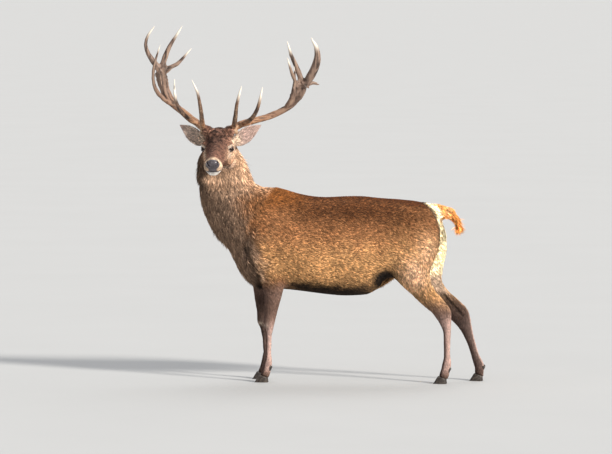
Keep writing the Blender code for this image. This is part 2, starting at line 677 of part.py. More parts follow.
# the head and the neck meet in a plane behind the jaw and the ears
NAPE = dict(place=(-0.693, 0.018, 1.450), turn_x=62.0)
half_space = dict(low=(-0.4, -0.6, 0.0), high=(0.4, 0.6, 0.6))
head_side = box("head_side", half_space["low"], half_space["high"], **NAPE)
cut(head, head_side, "INTERSECT")
bpy.data.objects.remove(head_side, do_unlink=True)
head_space = box("head_space", half_space["low"], half_space["high"], grow=GAP, **NAPE)
cut(body, head_space)
bpy.data.objects.remove(head_space, do_unlink=True)

neck = part_off(body, "neck", MANE, (-0.6, -0.4, -0.3), (0.0, 0.4, 0.8),
                place=(-0.500, 0, 0.950), turn_y=28.0)
tail = part_off(body, "tail", TAIL, (0.0, -0.2, -0.3), (0.4, 0.2, 0.2), place=(0.742, 0, 1.05), turn_y=-8.0)

for name, (stations, side, track) in LEGS.items():
    inner, outer = 0.070 if name.startswith("fore") else 0.030, 0.40
    low_y, high_y = sorted((side * inner, side * outer))
    if name.startswith("fore"):
        upper = part_off(body, name + "_forearm", LEG, (-0.25, low_y, -1.0), (0.135, high_y, 0.0),
                         place=(-0.400, 0, 0.640), turn_y=-14.0)
        knee = dict(place=(-0.37, 0, 0.372), turn_y=0.0) if side == LEFT else dict(
            place=(-0.435, 0, 0.368), turn_y=0.0)
        part_off(upper, name + "_cannon", LEG, (-0.3, low_y, -1.0), (0.3, high_y, 0.0), **knee)
    else:
        upper = part_off(body, name + "_thigh", COAT, (-0.32, low_y, -1.2), (0.60, high_y, 0.0),
                         place=(0.520, 0, 0.770), turn_y=-24.0)
        hock = dict(place=(0.725, 0, 0.430), turn_y=-10.0) if side == LEFT else dict(
            place=(0.805, 0, 0.412), turn_y=-10.0)
        part_off(upper, name + "_cannon", LEG, (-0.3, low_y, -1.0), (0.3, high_y, 0.0), **hock)

for foot, (middle, side, track, leg_name) in FEET.items():
    leg = bpy.data.objects[leg_name]
    y = side * track
    block = coronet_block(middle, y)
    above = box("above_hoof", block["low"], block["high"], place=block["place"], turn_y=block["turn_y"],
                grow=GAP)
    cut(leg, above)
    bpy.data.objects.remove(above, do_unlink=True)
    for claw_name, way in (("outer", side), ("inner", -side)):
        offset = way * (CLAW_HALF_WIDTH + CLEFT / 2)
        claw("hoof_" + foot + "_" + claw_name, middle, y + offset, -way, block)
        dewclaw("dewclaw_" + foot + "_" + claw_name, middle + DEWCLAW_SETBACK, y + way * 0.018, 0.084, leg)

for name, side in (("left", 1.0), ("right", -1.0)):
    trim(head, eye("eye_" + name, side))
antler("left", ANTLER_LEFT, (-0.606, -0.050, 1.570), 35, head)
antler("right", ANTLER_RIGHT, (-0.780, -0.050, 1.570), -35, head)
for name, side in (("left", 1.0), ("right", -1.0)):
    trim(ear("ear_" + name, side), head, bpy.data.objects["antler_" + name + "_beam"])

for thing in stag.objects:
    thing.data.shade_smooth()
    thing.data.set_sharp_from_angle(angle=math.radians(50))

# the origin goes to the middle of the footprint of the whole, on the floor
corners = np.array([tuple(thing.matrix_world @ Vector(corner)) for thing in stag.objects
                    for corner in thing.bound_box])
low, high = corners.min(axis=0), corners.max(axis=0)
shift = Matrix.Translation((-(low[0] + high[0]) / 2, -(low[1] + high[1]) / 2, -low[2]))
for thing in stag.objects:
    thing.data.transform(shift)
print("size", np.round(high - low, 4), "shift", [round(v, 4) for v in shift.translation])
print("triangles", sum(len(f.vertices) - 2 for o in stag.objects for f in o.data.polygons))
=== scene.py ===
# %% [markdown]
# # A red deer stag, life size
# A standing stag with his head turned to look over his left side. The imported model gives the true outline
# out to the tips of the coat. This lesson puts the looks on it: one skin in place of the flesh, thousands
# of small tufts of hair that follow the lie of the coat, antlers with grooves and pearls, wet dark eyes
# and horn hooves. The animal is a still model, so every piece rides on the one body, "root".

# %% Load the frame
import math
import time
import bpy
import bmesh
import numpy as np
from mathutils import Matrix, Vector
from mathutils.bvhtree import BVHTree
from mathutils.kdtree import KDTree


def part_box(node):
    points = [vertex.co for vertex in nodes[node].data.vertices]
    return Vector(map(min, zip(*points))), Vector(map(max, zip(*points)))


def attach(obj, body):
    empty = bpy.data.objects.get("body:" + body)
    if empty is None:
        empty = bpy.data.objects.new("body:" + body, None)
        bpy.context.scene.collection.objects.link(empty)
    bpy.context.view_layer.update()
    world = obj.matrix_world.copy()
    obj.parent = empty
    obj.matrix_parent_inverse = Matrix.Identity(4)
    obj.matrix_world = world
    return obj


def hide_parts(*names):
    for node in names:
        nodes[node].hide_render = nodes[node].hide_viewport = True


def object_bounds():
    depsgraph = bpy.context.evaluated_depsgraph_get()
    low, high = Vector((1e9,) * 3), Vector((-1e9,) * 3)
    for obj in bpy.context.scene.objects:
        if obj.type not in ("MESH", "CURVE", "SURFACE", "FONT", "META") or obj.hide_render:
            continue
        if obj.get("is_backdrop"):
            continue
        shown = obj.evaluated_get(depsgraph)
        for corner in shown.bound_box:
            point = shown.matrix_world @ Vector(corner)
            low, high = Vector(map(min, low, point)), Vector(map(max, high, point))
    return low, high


started = time.time()
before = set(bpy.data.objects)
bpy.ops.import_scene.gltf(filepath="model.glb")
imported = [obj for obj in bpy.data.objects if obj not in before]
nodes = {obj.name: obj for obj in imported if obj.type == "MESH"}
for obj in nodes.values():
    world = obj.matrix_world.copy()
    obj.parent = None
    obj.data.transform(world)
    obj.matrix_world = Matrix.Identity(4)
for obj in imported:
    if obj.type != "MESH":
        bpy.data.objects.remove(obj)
cad_low, cad_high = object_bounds()
print("frame of", len(nodes), "nodes,", [round(v, 3) for v in cad_high - cad_low], "m")

# %% [markdown]
# ## Camera
# The animal is seen from its left side, a little from behind the shoulder line and from just above the
# floor. A long lens a good way off keeps the legs parallel, as a far-off look through a telephoto does.
# The camera aims at a point worked out from the model's own box, so the framing follows the model.

# %% Camera
VIEW_AZIMUTH = math.radians(6)
VIEW_ELEVATION = math.radians(3)
CAMERA_DISTANCE = 30.0
FRAME_WIDTH = 3.825
AIM_ALONG, AIM_ACROSS, AIM_HEIGHT = -0.0515, 0.0541, 0.9625
SENSOR_WIDTH = 36.0


def looking_from(azimuth, elevation):
    """The direction from the aim towards a camera at this azimuth and elevation."""
    return Vector((math.sin(azimuth) * math.cos(elevation),
                   -math.cos(azimuth) * math.cos(elevation),
                   math.sin(elevation)))


trunk_low, trunk_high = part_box("trunk")
sight = looking_from(VIEW_AZIMUTH, VIEW_ELEVATION)
camera_right = Vector((math.cos(VIEW_AZIMUTH), math.sin(VIEW_AZIMUTH), 0))
camera_up = sight.cross(camera_right)
centre = (Vector(cad_low) + Vector(cad_high)) / 2
aim = Vector((centre.x + AIM_ALONG, centre.y + AIM_ACROSS, 0)) + camera_up * AIM_HEIGHT
lens = bpy.data.cameras.new("camera")
lens.sensor_width = SENSOR_WIDTH
lens.lens = SENSOR_WIDTH * CAMERA_DISTANCE / FRAME_WIDTH
lens.clip_end = 3000.0
camera = bpy.data.objects.new("camera", lens)
camera.location = aim + sight * CAMERA_DISTANCE
camera.rotation_mode = "QUATERNION"
camera.rotation_quaternion = (-sight).to_track_quat("-Z", "Y")
bpy.context.scene.collection.objects.link(camera)
bpy.context.scene.camera = camera
print("lens", round(lens.lens), "mm from", round(CAMERA_DISTANCE), "m")

# %% [markdown]
# ## Helpers for working on meshes
# Two habits save trouble in a script. Everything is deselected before an operator runs, because an
# operator acts on all that is selected. And a modifier is applied as soon as it is added, so the mesh on
# hand is always the real one.

# %% Select, apply and make
def only(piece):
    """Deselects everything, then selects this one piece and makes it active."""
    bpy.ops.object.select_all(action="DESELECT")
    piece.select_set(True)
    bpy.context.view_layer.objects.active = piece


def applied(piece, kind, **settings):
    """Adds a modifier, sets it up and applies it."""
    only(piece)
    modifier = piece.modifiers.new(kind.lower(), kind)
    for name, value in settings.items():
        setattr(modifier, name, value)
    bpy.ops.object.modifier_apply(modifier=modifier.name)
    return piece


def new_piece(name, mesh):
    """A new object at the origin, linked to the scene."""
    piece = bpy.data.objects.new(name, mesh)
    bpy.context.scene.collection.objects.link(piece)
    return piece

# %% [markdown]
# A mesh can be changed one vertex at a time, but a coat has more than a million. Reading and writing all
# places at once as arrays keeps the script fast, and lets a form be written as one line of arithmetic.

# %% A mesh as arrays
def places(mesh):
    """The vertex places of a mesh as an array."""
    flat = np.empty(len(mesh.vertices) * 3, np.float32)
    mesh.vertices.foreach_get("co", flat)
    return flat.reshape(-1, 3).astype(float)


def put(mesh, points):
    """Writes the vertex places back."""
    mesh.vertices.foreach_set("co", points.astype(np.float32).ravel())
    mesh.update()


def normals(mesh):
    """The vertex normals of a mesh as an array."""
    flat = np.empty(len(mesh.vertices) * 3, np.float32)
    mesh.vertex_normals.foreach_get("vector", flat)
    return flat.reshape(-1, 3).astype(float)


def edges(mesh):
    """The edges of a mesh as pairs of vertex numbers."""
    flat = np.empty(len(mesh.edges) * 2, np.int32)
    mesh.edges.foreach_get("vertices", flat)
    return flat.reshape(-1, 2)

# %% [markdown]
# Most of what follows is smooth: a form that blends into the body, a colour that fades. One helper evens
# any values out over a mesh by moving each towards its neighbours, and another eases from 0 to 1 between
# two heights. A ripple of a few sine waves stands in for noise where a mesh needs it, because it gives the
# same result each time.

# %% Smoothing and easing
def spread(values, pairs, rounds, share=0.5, mask=1.0):
    """Evens values out over a mesh: each round moves every vertex towards its neighbours' mean."""
    values = np.array(values, float)
    flat = values.reshape(len(values), -1)
    a, b = pairs[:, 0], pairs[:, 1]
    count = np.bincount(pairs.ravel(), minlength=len(flat)).clip(1)
    weight = np.broadcast_to(np.asarray(mask, float), len(flat))
    for _ in range(rounds):
        for column in range(flat.shape[1]):
            v = flat[:, column]
            total = np.bincount(a, v[b], len(v)) + np.bincount(b, v[a], len(v))
            v += share * weight * (total / count - v)
    return flat.reshape(values.shape)


def relax(mesh, rounds):
    """Smooths a mesh without shrinking it, by a pull in and a slightly larger push out."""
    points, pairs = places(mesh), edges(mesh)
    for _ in range(rounds):
        points = spread(points, pairs, 1, share=0.55)
        points = spread(points, pairs, 1, share=-0.57)
    put(mesh, points)


def step(low, high, value):
    """0 below low, 1 above high and an easy slope between. It also runs downhill, where low is the larger."""
    t = np.clip((value - low) / (high - low), 0, 1)
    return t * t * (3 - 2 * t)


def unit(vectors):
    """Vectors brought to length one."""
    return vectors / np.linalg.norm(vectors, axis=-1, keepdims=True).clip(1e-9)


def middle(node):
    """The centre of a node's box."""
    low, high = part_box(node)
    return np.array((low + high) / 2)


def ripple(points, size, seed, waves=7):
    """Slow, smooth noise between about -1 and 1, made of a few sine waves in chance directions."""
    chance = np.random.default_rng(seed)
    total = np.zeros(len(points))
    for _ in range(waves):
        way = unit(chance.normal(size=3)) * (2 * math.pi / size) * chance.uniform(0.6, 1.5)
        total += np.sin(points @ way + chance.uniform(0, 2 * math.pi))
    return total / math.sqrt(waves)


def write(mesh, name, values):
    """Stores one number for each vertex under this name."""
    mesh.attributes.new(name, "FLOAT", "POINT").data.foreach_set("value", values.astype(np.float32))


print("a quarter of the way up an easy slope:", round(float(step(0.0, 1.0, 0.25)), 3))

# %% [markdown]
# ## The skin: one surface in place of the flesh
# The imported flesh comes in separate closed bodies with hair-thin gaps. A boolean union would join them,
# but it keeps every facet and every seam. Here a copy of each is grown by half a millimetre so that they
# overlap, and the lot is remeshed with voxels, which gives one even surface with no seam. The ears are
# only a few millimetres thick, so they join at a second, finer remesh.

# %% Copy and join pieces
SIDES = ("left", "right")
EARS = ["ear_left", "ear_right"]
LEG_PARTS = (("foreleg", "forearm"), ("foreleg", "cannon"), ("hindleg", "thigh"), ("hindleg", "cannon"))
LEGS = [leg + "_" + side + "_" + part for side in SIDES for leg, part in LEG_PARTS]
FLESH = ["trunk", "neck", "head", "tail"] + LEGS
REGIONS = FLESH + EARS
OVERLAP = 0.0005
BODY_VOXEL, EAR_VOXEL = 0.008, 0.0045


def copied(node, grow=OVERLAP):
    """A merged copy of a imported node, grown a little along its own normals."""
    form = bmesh.new()
    form.from_mesh(nodes[node].data)
    bmesh.ops.remove_doubles(form, verts=form.verts, dist=1e-5)
    form.normal_update()
    shift = [(v, v.normal * grow * min(v.calc_shell_factor(), 2.0)) for v in form.verts]
    for vertex, move in shift:
        vertex.co += move
    mesh = bpy.data.meshes.new(node + "_copy")
    form.to_mesh(mesh)
    form.free()
    return new_piece(node + "_copy", mesh)


def joined(name, pieces):
    """Joins pieces into the first one and names it."""
    bpy.ops.object.select_all(action="DESELECT")
    for piece in pieces:
        piece.select_set(True)
    bpy.context.view_layer.objects.active = pieces[0]
    bpy.ops.object.join()
    pieces[0].name = name
    pieces[0].data.name = name
    return pieces[0]


# %% [markdown]
# Later steps often ask which part of the body a place belongs to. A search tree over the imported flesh
# answers with the nearest face, and the face's owner is the region. A table with one column for each
# region can then be evened out like any other values, which gives soft shares where two regions meet.

# %% Regions of the body
def part_of_legs(part):
    """The regions of all legs that are this part, such as every thigh."""
    return [leg for leg in LEGS if leg.endswith(part)]


THIGHS, FOREARMS, CANNONS = part_of_legs("thigh"), part_of_legs("forearm"), part_of_legs("cannon")


def region_tree():
    """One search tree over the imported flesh, and which region each of its faces belongs to."""
    corners, faces, owner = [], [], []
    for number, node in enumerate(REGIONS):
        mesh = nodes[node].data
        first = sum(len(block) for block in corners)
        corners.append(places(mesh))
        faces += [[first + i for i in face.vertices] for face in mesh.polygons]
        owner += [number] * len(mesh.polygons)
    return BVHTree.FromPolygons(np.concatenate(corners).tolist(), faces), np.array(owner)


tree, owner = region_tree()


def regions_of(points):
    """The nearest region of every point, as a table with a 1 in that region's column."""
    nearest = [tree.find_nearest(point)[2] for point in points.tolist()]
    return np.eye(len(REGIONS))[owner[nearest]]


def in_region(table, *names):
    """The share of the named regions at each point."""
    return sum(table[:, REGIONS.index(name)] for name in names)


print(len(REGIONS), "regions,", len(owner), "packed faces")

# %% [markdown]
# The eyes are joined in too, so that the lids have something to be modelled from. The trunk and the neck
# are evened out far more than the legs and the face, whose forms are small, so the smoothing is weighted
# by region.

# %% Grow the skin
EYES = ["eye_left", "eye_right"]
skin = joined("skin", [copied(node) for node in FLESH + EYES])
applied(skin, "REMESH", mode="VOXEL", voxel_size=BODY_VOXEL)
relax(skin.data, 22)
points, pairs = places(skin.data), edges(skin.data)
table = regions_of(points)
broad = spread(in_region(table, "trunk", "neck") + 0.25 * in_region(table, *THIGHS), pairs, 12)
put(skin.data, spread(points, pairs, 45, mask=broad))
skin = joined("skin", [skin] + [copied(node, 0.0) for node in EARS])
applied(skin, "REMESH", mode="VOXEL", voxel_size=EAR_VOXEL)
print("skin", len(skin.data.polygons), "faces after", round(time.time() - started, 1), "s")

# %% [markdown]
# The head is turned and tilted, so its forms are easier to place in a frame of its own: forward along the
# muzzle, aside towards its left eye, and up, all counted from the point between the eyes.

# %% The head's own frame
eye_places = {side: middle("eye_" + side) for side in SIDES}
head_centre = (eye_places["left"] + eye_places["right"]) / 2
EYE_RADIUS = (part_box("eye_left")[1].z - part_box("eye_left")[0].z) / 2
HEAD_PITCH = math.radians(17)
head_aside = unit(eye_places["left"] - eye_places["right"])
head_forward = np.array((0.0, -math.cos(HEAD_PITCH), -math.sin(HEAD_PITCH)))
head_up = np.cross(head_aside, -head_forward)
head_axes = np.array((head_forward, head_aside, head_up))


def in_head(points):
    """World places as forward, aside and up in the head's own frame, from the point between the eyes."""
    return (points - head_centre) @ head_axes.T


def folded(local):
    """Places of the head's frame with both halves laid on the left one."""
    return np.stack((local[:, 0], np.abs(local[:, 1]), local[:, 2]), 1)


print("head centre", head_centre.round(3), "eye radius", round(EYE_RADIUS * 1000, 1), "mm")

# %% [markdown]
# The body can be coarse, because fur covers it, and the head must be fine. Decimate takes a vertex group
# as a weight, so the head and ears are left as they are while the whole drops to about a quarter of its
# faces. Voxels can leave crumbs inside a form, and only the largest part is kept.

# %% Thin the body
KEPT_SHARE = 0.24


def keep_largest(piece):
    """Drops every loose part but the largest."""
    pairs = edges(piece.data)
    label = np.arange(len(piece.data.vertices))
    while True:
        low = np.minimum(label[pairs[:, 0]], label[pairs[:, 1]])
        fresh = label.copy()
        np.minimum.at(fresh, pairs[:, 0], low)
        np.minimum.at(fresh, pairs[:, 1], low)
        fresh = fresh[fresh]
        if (fresh == label).all():
            break
        label = fresh
    names, counts = np.unique(label, return_counts=True)
    stray = np.flatnonzero(label != names[counts.argmax()])
    if len(stray):
        form = bmesh.new()
        form.from_mesh(piece.data)
        form.verts.ensure_lookup_table()
        bmesh.ops.delete(form, geom=[form.verts[i] for i in stray], context="VERTS")
        form.to_mesh(piece.data)
        form.free()
    print(piece.name, "kept", counts.max(), "of", counts.sum(), "vertices")


keep_largest(skin)
points = places(skin.data)
f, a, u = in_head(points).T
fine = np.maximum(step(-0.24, -0.18, f) * step(-0.30, -0.2, u),
                  step(0.10, 0.12, np.abs(a)) * step(-0.2, -0.15, f) * step(-0.1, -0.05, u))
group = skin.vertex_groups.new(name="body")
for tenths in range(11):
    members = np.flatnonzero(np.round((1 - fine) * 10) == tenths)
    group.add([int(i) for i in members], tenths / 10, "REPLACE")
applied(skin, "DECIMATE", ratio=KEPT_SHARE, vertex_group="body", vertex_group_factor=1.0)
skin.vertex_groups.clear()
print("skin", len(skin.data.polygons), "faces after", round(time.time() - started, 1), "s")

# %% [markdown]
# ## Coat depth
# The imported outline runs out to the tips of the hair, so the skin lies inside it by the depth of the coat:
# thick in the mane and the tail, medium on the trunk, thin on the cannons and almost nothing on the face
# and ears. The depths are set per region, evened out over the mesh, and the skin moves in along its
# normals by that much.

# %% Sink the skin by the coat's depth
DEPTH = {"trunk": 0.007, "neck": 0.017, "head": 0.0022, "tail": 0.010, "ear": 0.0008,
         "forearm": 0.0045, "thigh": 0.006, "cannon": 0.0026}
HEAD_DEPTH, FACE_THINNING, EAR_DEPTH = 0.0022, 0.0012, 0.0009
BRUSH_DEPTH, BRUSH_MOVE = 0.006, (-0.012, 0.0, 0.010)


def kind_of(region):
    """What sort of region this is, the same for left and right."""
    return "ear" if region in EARS else region.split("_")[-1]


points, pairs = places(skin.data), edges(skin.data)
table = regions_of(points)
depth = sum(table[:, i] * DEPTH[kind_of(name)] for i, name in enumerate(REGIONS))
f, a, u = in_head(points).T
depth = spread(depth, pairs, 40, mask=spread(in_region(table, "neck", "trunk"), pairs, 4))
depth = spread(depth, pairs, 10)
tail_low, tail_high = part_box("tail")
brush = in_region(table, "tail") * step(tail_high.x - 0.12, tail_high.x - 0.015, points[:, 0])
depth = depth + BRUSH_DEPTH * brush
points += brush[:, None] * np.array(BRUSH_MOVE)
face = step(0.02, 0.08, f) * step(0.2, 0.12, np.abs(a)) * step(-0.25, -0.2, u)
on_head = step(-0.20, -0.10, f) * step(-0.26, -0.18, u)
depth = np.minimum(depth, HEAD_DEPTH - FACE_THINNING * face + 0.02 * (1 - on_head))
near_ear = spread(in_region(table, *EARS), pairs, 1)
depth = np.where(near_ear > 0.5, np.minimum(depth, EAR_DEPTH), depth)
points = points - normals(skin.data) * depth[:, None]
put(skin.data, spread(points, pairs, 4, mask=near_ear))
print("coat depth", round(depth.min() * 1000, 1), "to", round(depth.max() * 1000, 1), "mm")

# %% [markdown]
# ## Modelling the body
# A sculptor would push the surface with a brush. In a script the same is done with a soft hill round a
# point, or a soft furrow along a line, added along the normals. Both fade out smoothly, so the forms blend
# into the body as muscle does, and each is a named place and size that can be changed.

# %% Sculpting tools
def to_line(points, line):
    """Distance from every point to a bent line, and how far along it (0 to 1) the nearest place is."""
    best = np.full(len(points), 1e9)
    along = np.zeros(len(points))
    line = np.array(line, float)
    for i, (p, q) in enumerate(zip(line[:-1], line[1:])):
        t = np.clip(((points - p) @ (q - p)) / ((q - p) @ (q - p)), 0, 1)
        gap = np.linalg.norm(points - p - t[:, None] * (q - p), axis=1)
        closer = gap < best
        best[closer] = gap[closer]
        along[closer] = (i + t[closer]) / (len(line) - 1)
    return best, along


def bump_at(local, centre, radii):
    """A soft hill of height one with these radii, around a centre in the head's frame."""
    gap = (local - np.array(centre)) / np.array(radii)
    return np.exp(-(gap ** 2).sum(1))


def groove(points, line, width):
    """A soft furrow of depth one along a bent line, which fades at both ends."""
    gap, along = to_line(points, line)
    return np.exp(-(gap / width) ** 2) * step(-0.01, 0.12, along + 0.06) * step(1.01, 0.88, along - 0.06)


# %% [markdown]
# A few forms break the long, smooth flank. The shoulder stands proud behind a crease that runs down the
# chest, and the elbow makes a small knob. A hollow opens between the belly and the front of the thigh
# under a fold of skin. A furrow parts the shin from the tendon above the hock, the knees are knobbly, and
# a mound carries each dewclaw. Each form is placed as it is seen from the side, and the same line serves
# both sides of the body.

# %% Shoulder, flank and hock
MIDLINE = (trunk_low.y + trunk_high.y) / 2
POCKET, POCKET_RADII, POCKET_DEPTH = (0.452, 0.0, 0.640), (0.056, 1.0, 0.050), 0.060
FLANK_FOLD = [(0.380, 0.0, 0.700), (0.440, 0.0, 0.694), (0.515, 0.0, 0.650)]
CREASE = [(-0.438, 0.0, 0.881), (-0.382, 0.0, 0.744), (-0.335, 0.0, 0.600)]
BREAST = [(-0.395, 0.0, 0.740), (-0.360, 0.0, 0.640), (-0.350, 0.0, 0.560)]
SHOULDER, ELBOW, KNEE_HEIGHT = (-0.305, 0.0, 0.905), (-0.165, 0.0, 0.630), 0.372
BUTTOCK, BUTTOCK_PUSH = (0.800, MIDLINE, 0.995), 0.026
INNER_TENDON = [(0.795, 0.0, 0.548), (0.860, 0.0, 0.478), (0.922, 0.0, 0.412)]
TENDON = [(0.772, 0.0, 0.610), (0.812, 0.0, 0.560), (0.846, 0.0, 0.500)]


def side_on(points):
    """Points pressed flat on to the midline, so that a form is placed as it is seen from the side."""
    return points * (1, 0, 1)


def pocket_at(points):
    """How deep in the hollow of the flank each point lies, from 0 to 1."""
    return bump_at(side_on(points), POCKET, POCKET_RADII) * step(0.03, 0.08, np.abs(points[:, 1] - MIDLINE))


points, pairs = places(skin.data), edges(skin.data)
table = regions_of(points)
body = spread(in_region(table, "trunk", "neck", *LEGS), pairs, 8)
flat_on = side_on(points)
from_midline = points[:, 1] - MIDLINE
beside = step(0.03, 0.09, np.abs(from_midline))
raised = 0.007 * bump_at(flat_on, SHOULDER, (0.075, 1.0, 0.120))
raised += 0.006 * bump_at(flat_on, ELBOW, (0.035, 1.0, 0.035))
raised += 0.006 * groove(flat_on, FLANK_FOLD, 0.012) - 0.009 * groove(flat_on, CREASE, 0.018)
raised -= 0.006 * groove(flat_on, TENDON, 0.009) * (from_midline < 0)
raised -= 0.007 * groove(flat_on, INNER_TENDON, 0.010) * (from_midline > 0)
for leg in [cannon for cannon in CANNONS if cannon.startswith("foreleg")]:
    off_leg = np.abs(points - middle(leg))
    over_leg = step(0.09, 0.06, off_leg[:, 1]) * step(0.14, 0.10, off_leg[:, 0])
    rise = (points[:, 2] - KNEE_HEIGHT) / 0.024
    knee = np.exp(-rise ** 2) - 0.6 * np.exp(-(rise + 2.3) ** 2)
    raised += 0.0045 * knee * over_leg * step(0.4, -0.4, normals(skin.data)[:, 0])
points = points + normals(skin.data) * (raised * beside * body)[:, None]
points[:, 1] -= np.sign(from_midline) * POCKET_DEPTH * pocket_at(points) * body
buttocks = in_region(table, "trunk", "tail", *THIGHS)
points[:, 0] += BUTTOCK_PUSH * bump_at(points, BUTTOCK, (0.050, 0.085, 0.048)) * buttocks
for claw in sorted(node for node in nodes if node.startswith("dewclaw_")):
    to_claw = middle(claw) - points
    points += 0.35 * to_claw * step(0.034, 0.012, np.linalg.norm(to_claw, axis=1))[:, None]
put(skin.data, points)
print("hollow of the flank", round(POCKET_DEPTH * 1000), "mm deep")

# %% [markdown]
# ## The face
# The head gets the most care. The faces around the eyes and the muzzle are subdivided first, by selecting
# them and using the edit-mode operator, so that they can hold small forms. Then vertices are moved as a
# sculptor would.

# %% Subdivide the face
def subdivide_where(piece, test):
    """Subdivides the faces whose centres pass the test."""
    mesh = piece.data
    only(piece)
    flat = np.empty(len(mesh.polygons) * 3, np.float32)
    mesh.polygons.foreach_get("center", flat)
    chosen = test(flat.reshape(-1, 3).astype(float))
    bpy.ops.object.mode_set(mode="EDIT")
    bpy.ops.mesh.select_mode(type="FACE")
    bpy.ops.mesh.select_all(action="DESELECT")
    bpy.ops.object.mode_set(mode="OBJECT")
    mesh.polygons.foreach_set("select", chosen)
    bpy.ops.object.mode_set(mode="EDIT")
    bpy.ops.mesh.subdivide(number_cuts=1, smoothness=0.0, ngon=False)
    bpy.ops.object.mode_set(mode="OBJECT")


def near_eyes(reach):
    """A test for places within reach of either eye."""
    return lambda points: np.minimum(*[np.linalg.norm(points - eye_places[side], axis=1)
                                       for side in SIDES]) < reach


def on_muzzle(start):
    """A test for places on the muzzle forward of start."""
    def test(points):
        f, a, u = in_head(points).T
        return (f > start) & (np.abs(a) < 0.09) & (u > -0.12)
    return test


subdivide_where(skin, lambda points: near_eyes(0.045)(points) | on_muzzle(0.150)(points))
subdivide_where(skin, lambda points: near_eyes(0.031)(points) | on_muzzle(0.228)(points))
points, pairs = places(skin.data), edges(skin.data)
local = in_head(points)
face = step(-0.02, 0.03, local[:, 0]) * step(-0.2, -0.15, local[:, 2])
put(skin.data, spread(points, pairs, 6, mask=np.maximum(face, near_eyes(0.06)(points) * 1.0)))
print("skin", len(skin.data.vertices), "vertices", len(skin.data.polygons), "faces")

# %% [markdown]
# Under the short hair of the face the skull shows: a cheekbone with hollows above and below it, an arch
# behind the eye, a sunk temple, a brow, and full sides to the nostrils. Each is one low hill or hollow of
# a few millimetres. The foot of each ear is then evened out, so that it grows from the head without a
# crease.

# %% Cheeks, brow and jaw
FACE_FORMS = {"cheekbone": (0.004, (0.075, 0.070, -0.046), (0.075, 0.030, 0.012)),
              "hollow over the cheekbone": (-0.005, (0.085, 0.066, -0.014), (0.045, 0.030, 0.016)),
              "hollow of the cheek": (-0.005, (0.115, 0.050, -0.082), (0.035, 0.030, 0.018)),
              "arch behind the eye": (0.004, (-0.050, 0.085, -0.018), (0.035, 0.030, 0.010)),
              "temple": (-0.005, (-0.055, 0.080, 0.020), (0.030, 0.030, 0.022)),
              "brow": (0.0045, (-0.008, 0.082, 0.030), (0.028, 0.030, 0.010)),
              "dip between the brows": (-0.004, (0.020, 0.000, 0.075), (0.050, 0.018, 0.030)),
              "side of the nostril": (0.004, (0.235, 0.045, -0.035), (0.022, 0.020, 0.016)),
              "chin": (0.003, (0.225, 0.020, -0.085), (0.024, 0.030, 0.010))}
EAR_FOOT, EAR_FOOT_RADII = (-0.104, 0.105, 0.022), (0.050, 0.048, 0.050)
points = places(skin.data)
half_head = folded(in_head(points))
move = np.zeros(len(points))
for rise, place, radii in FACE_FORMS.values():
    move += rise * bump_at(half_head, place, radii)
put(skin.data, points + normals(skin.data) * move[:, None])
points = places(skin.data)
ear_foot = step(0.35, 0.8, bump_at(folded(in_head(points)), EAR_FOOT, EAR_FOOT_RADII))
put(skin.data, spread(points, edges(skin.data), 26, mask=ear_foot))
print(len(FACE_FORMS), "forms on each side of the face, up to", round(np.abs(move).max() * 1000, 1), "mm")

# %% [markdown]
# The nose pad is bare and wet, set off from the hair by a fine groove. Its nostrils are comma-shaped pits
# with a raised rim, a shallow furrow parts the pad below, and the mouth is a groove between two soft lips.
# All of these follow a line or a rounded outline in the head's frame, so they are distances turned into
# depths.

# %% Nose pad, nostrils and mouth
MOUTH_LEVEL = -0.060
PAD_EDGE_AT, PAD_HALF_WIDTH, PAD_HALF_HEIGHT = 1.03, 0.043, 0.031
NOSTRIL = [(0.0, 0.0140, -0.0190), (0.0, 0.0200, -0.0165), (0.0, 0.0275, -0.0110), (0.0, 0.0325, -0.0020),
           (0.0, 0.0315, 0.0060)]
NOSTRIL_DEPTH, MOUTH_DEPTH = 0.010, 0.0045
points = places(skin.data)
local = in_head(points)
f, a, u = local.T
mouth_height = MOUTH_LEVEL + 0.008 * step(0.23, 0.15, f) + 0.003 * np.exp(-(a / 0.010) ** 2)
on_snout = step(0.138, 0.158, f)
mouth = np.exp(-((u - mouth_height) / 0.0032) ** 2) * on_snout
upper_lip = np.exp(-((u - mouth_height - 0.008) / 0.006) ** 2) * on_snout
lower_lip = np.exp(-((u - mouth_height + 0.008) / 0.005) ** 2) * on_snout


def pad_reach_of(local):
    """How far a place lies from the middle of the nose pad, where 1 is the pad's edge."""
    f, a, u = local.T
    width = PAD_HALF_WIDTH - 0.25 * np.maximum(-u - 0.020, 0)
    behind_front = np.minimum(f - 0.238, 0) / 0.014
    return np.sqrt((a / width) ** 2 + ((u + 0.014) / PAD_HALF_HEIGHT) ** 2 + behind_front ** 2)


pad_reach = pad_reach_of(local)
pad = step(1.08, 0.96, pad_reach) * step(0.215, 0.235, f)
pad_edge = np.exp(-((pad_reach - PAD_EDGE_AT) / 0.07) ** 2) * step(0.215, 0.23, f)
nostril_gap, nostril_along = to_line(folded(local) * (0, 1, 1), NOSTRIL)
nostril_width = 0.0022 + 0.0024 * np.sin(np.pi * np.clip(nostril_along * 1.05, 0, 1))
on_front = step(0.222, 0.232, f)
nostril = step(1.45, 0.35, nostril_gap / nostril_width) * on_front
nostril_rim = np.exp(-((nostril_gap / nostril_width - 1.9) / 0.55) ** 2) * on_front
philtrum = np.exp(-(a / 0.0022) ** 2) * step(-0.060, -0.050, u) * step(0.016, 0.004, u) * step(0.225, 0.24, f)
out = normals(skin.data)
move = -MOUTH_DEPTH * mouth + 0.0022 * upper_lip + 0.0020 * lower_lip - 0.0012 * pad_edge + 0.0010 * pad
move += 0.0016 * nostril_rim - 0.0016 * philtrum
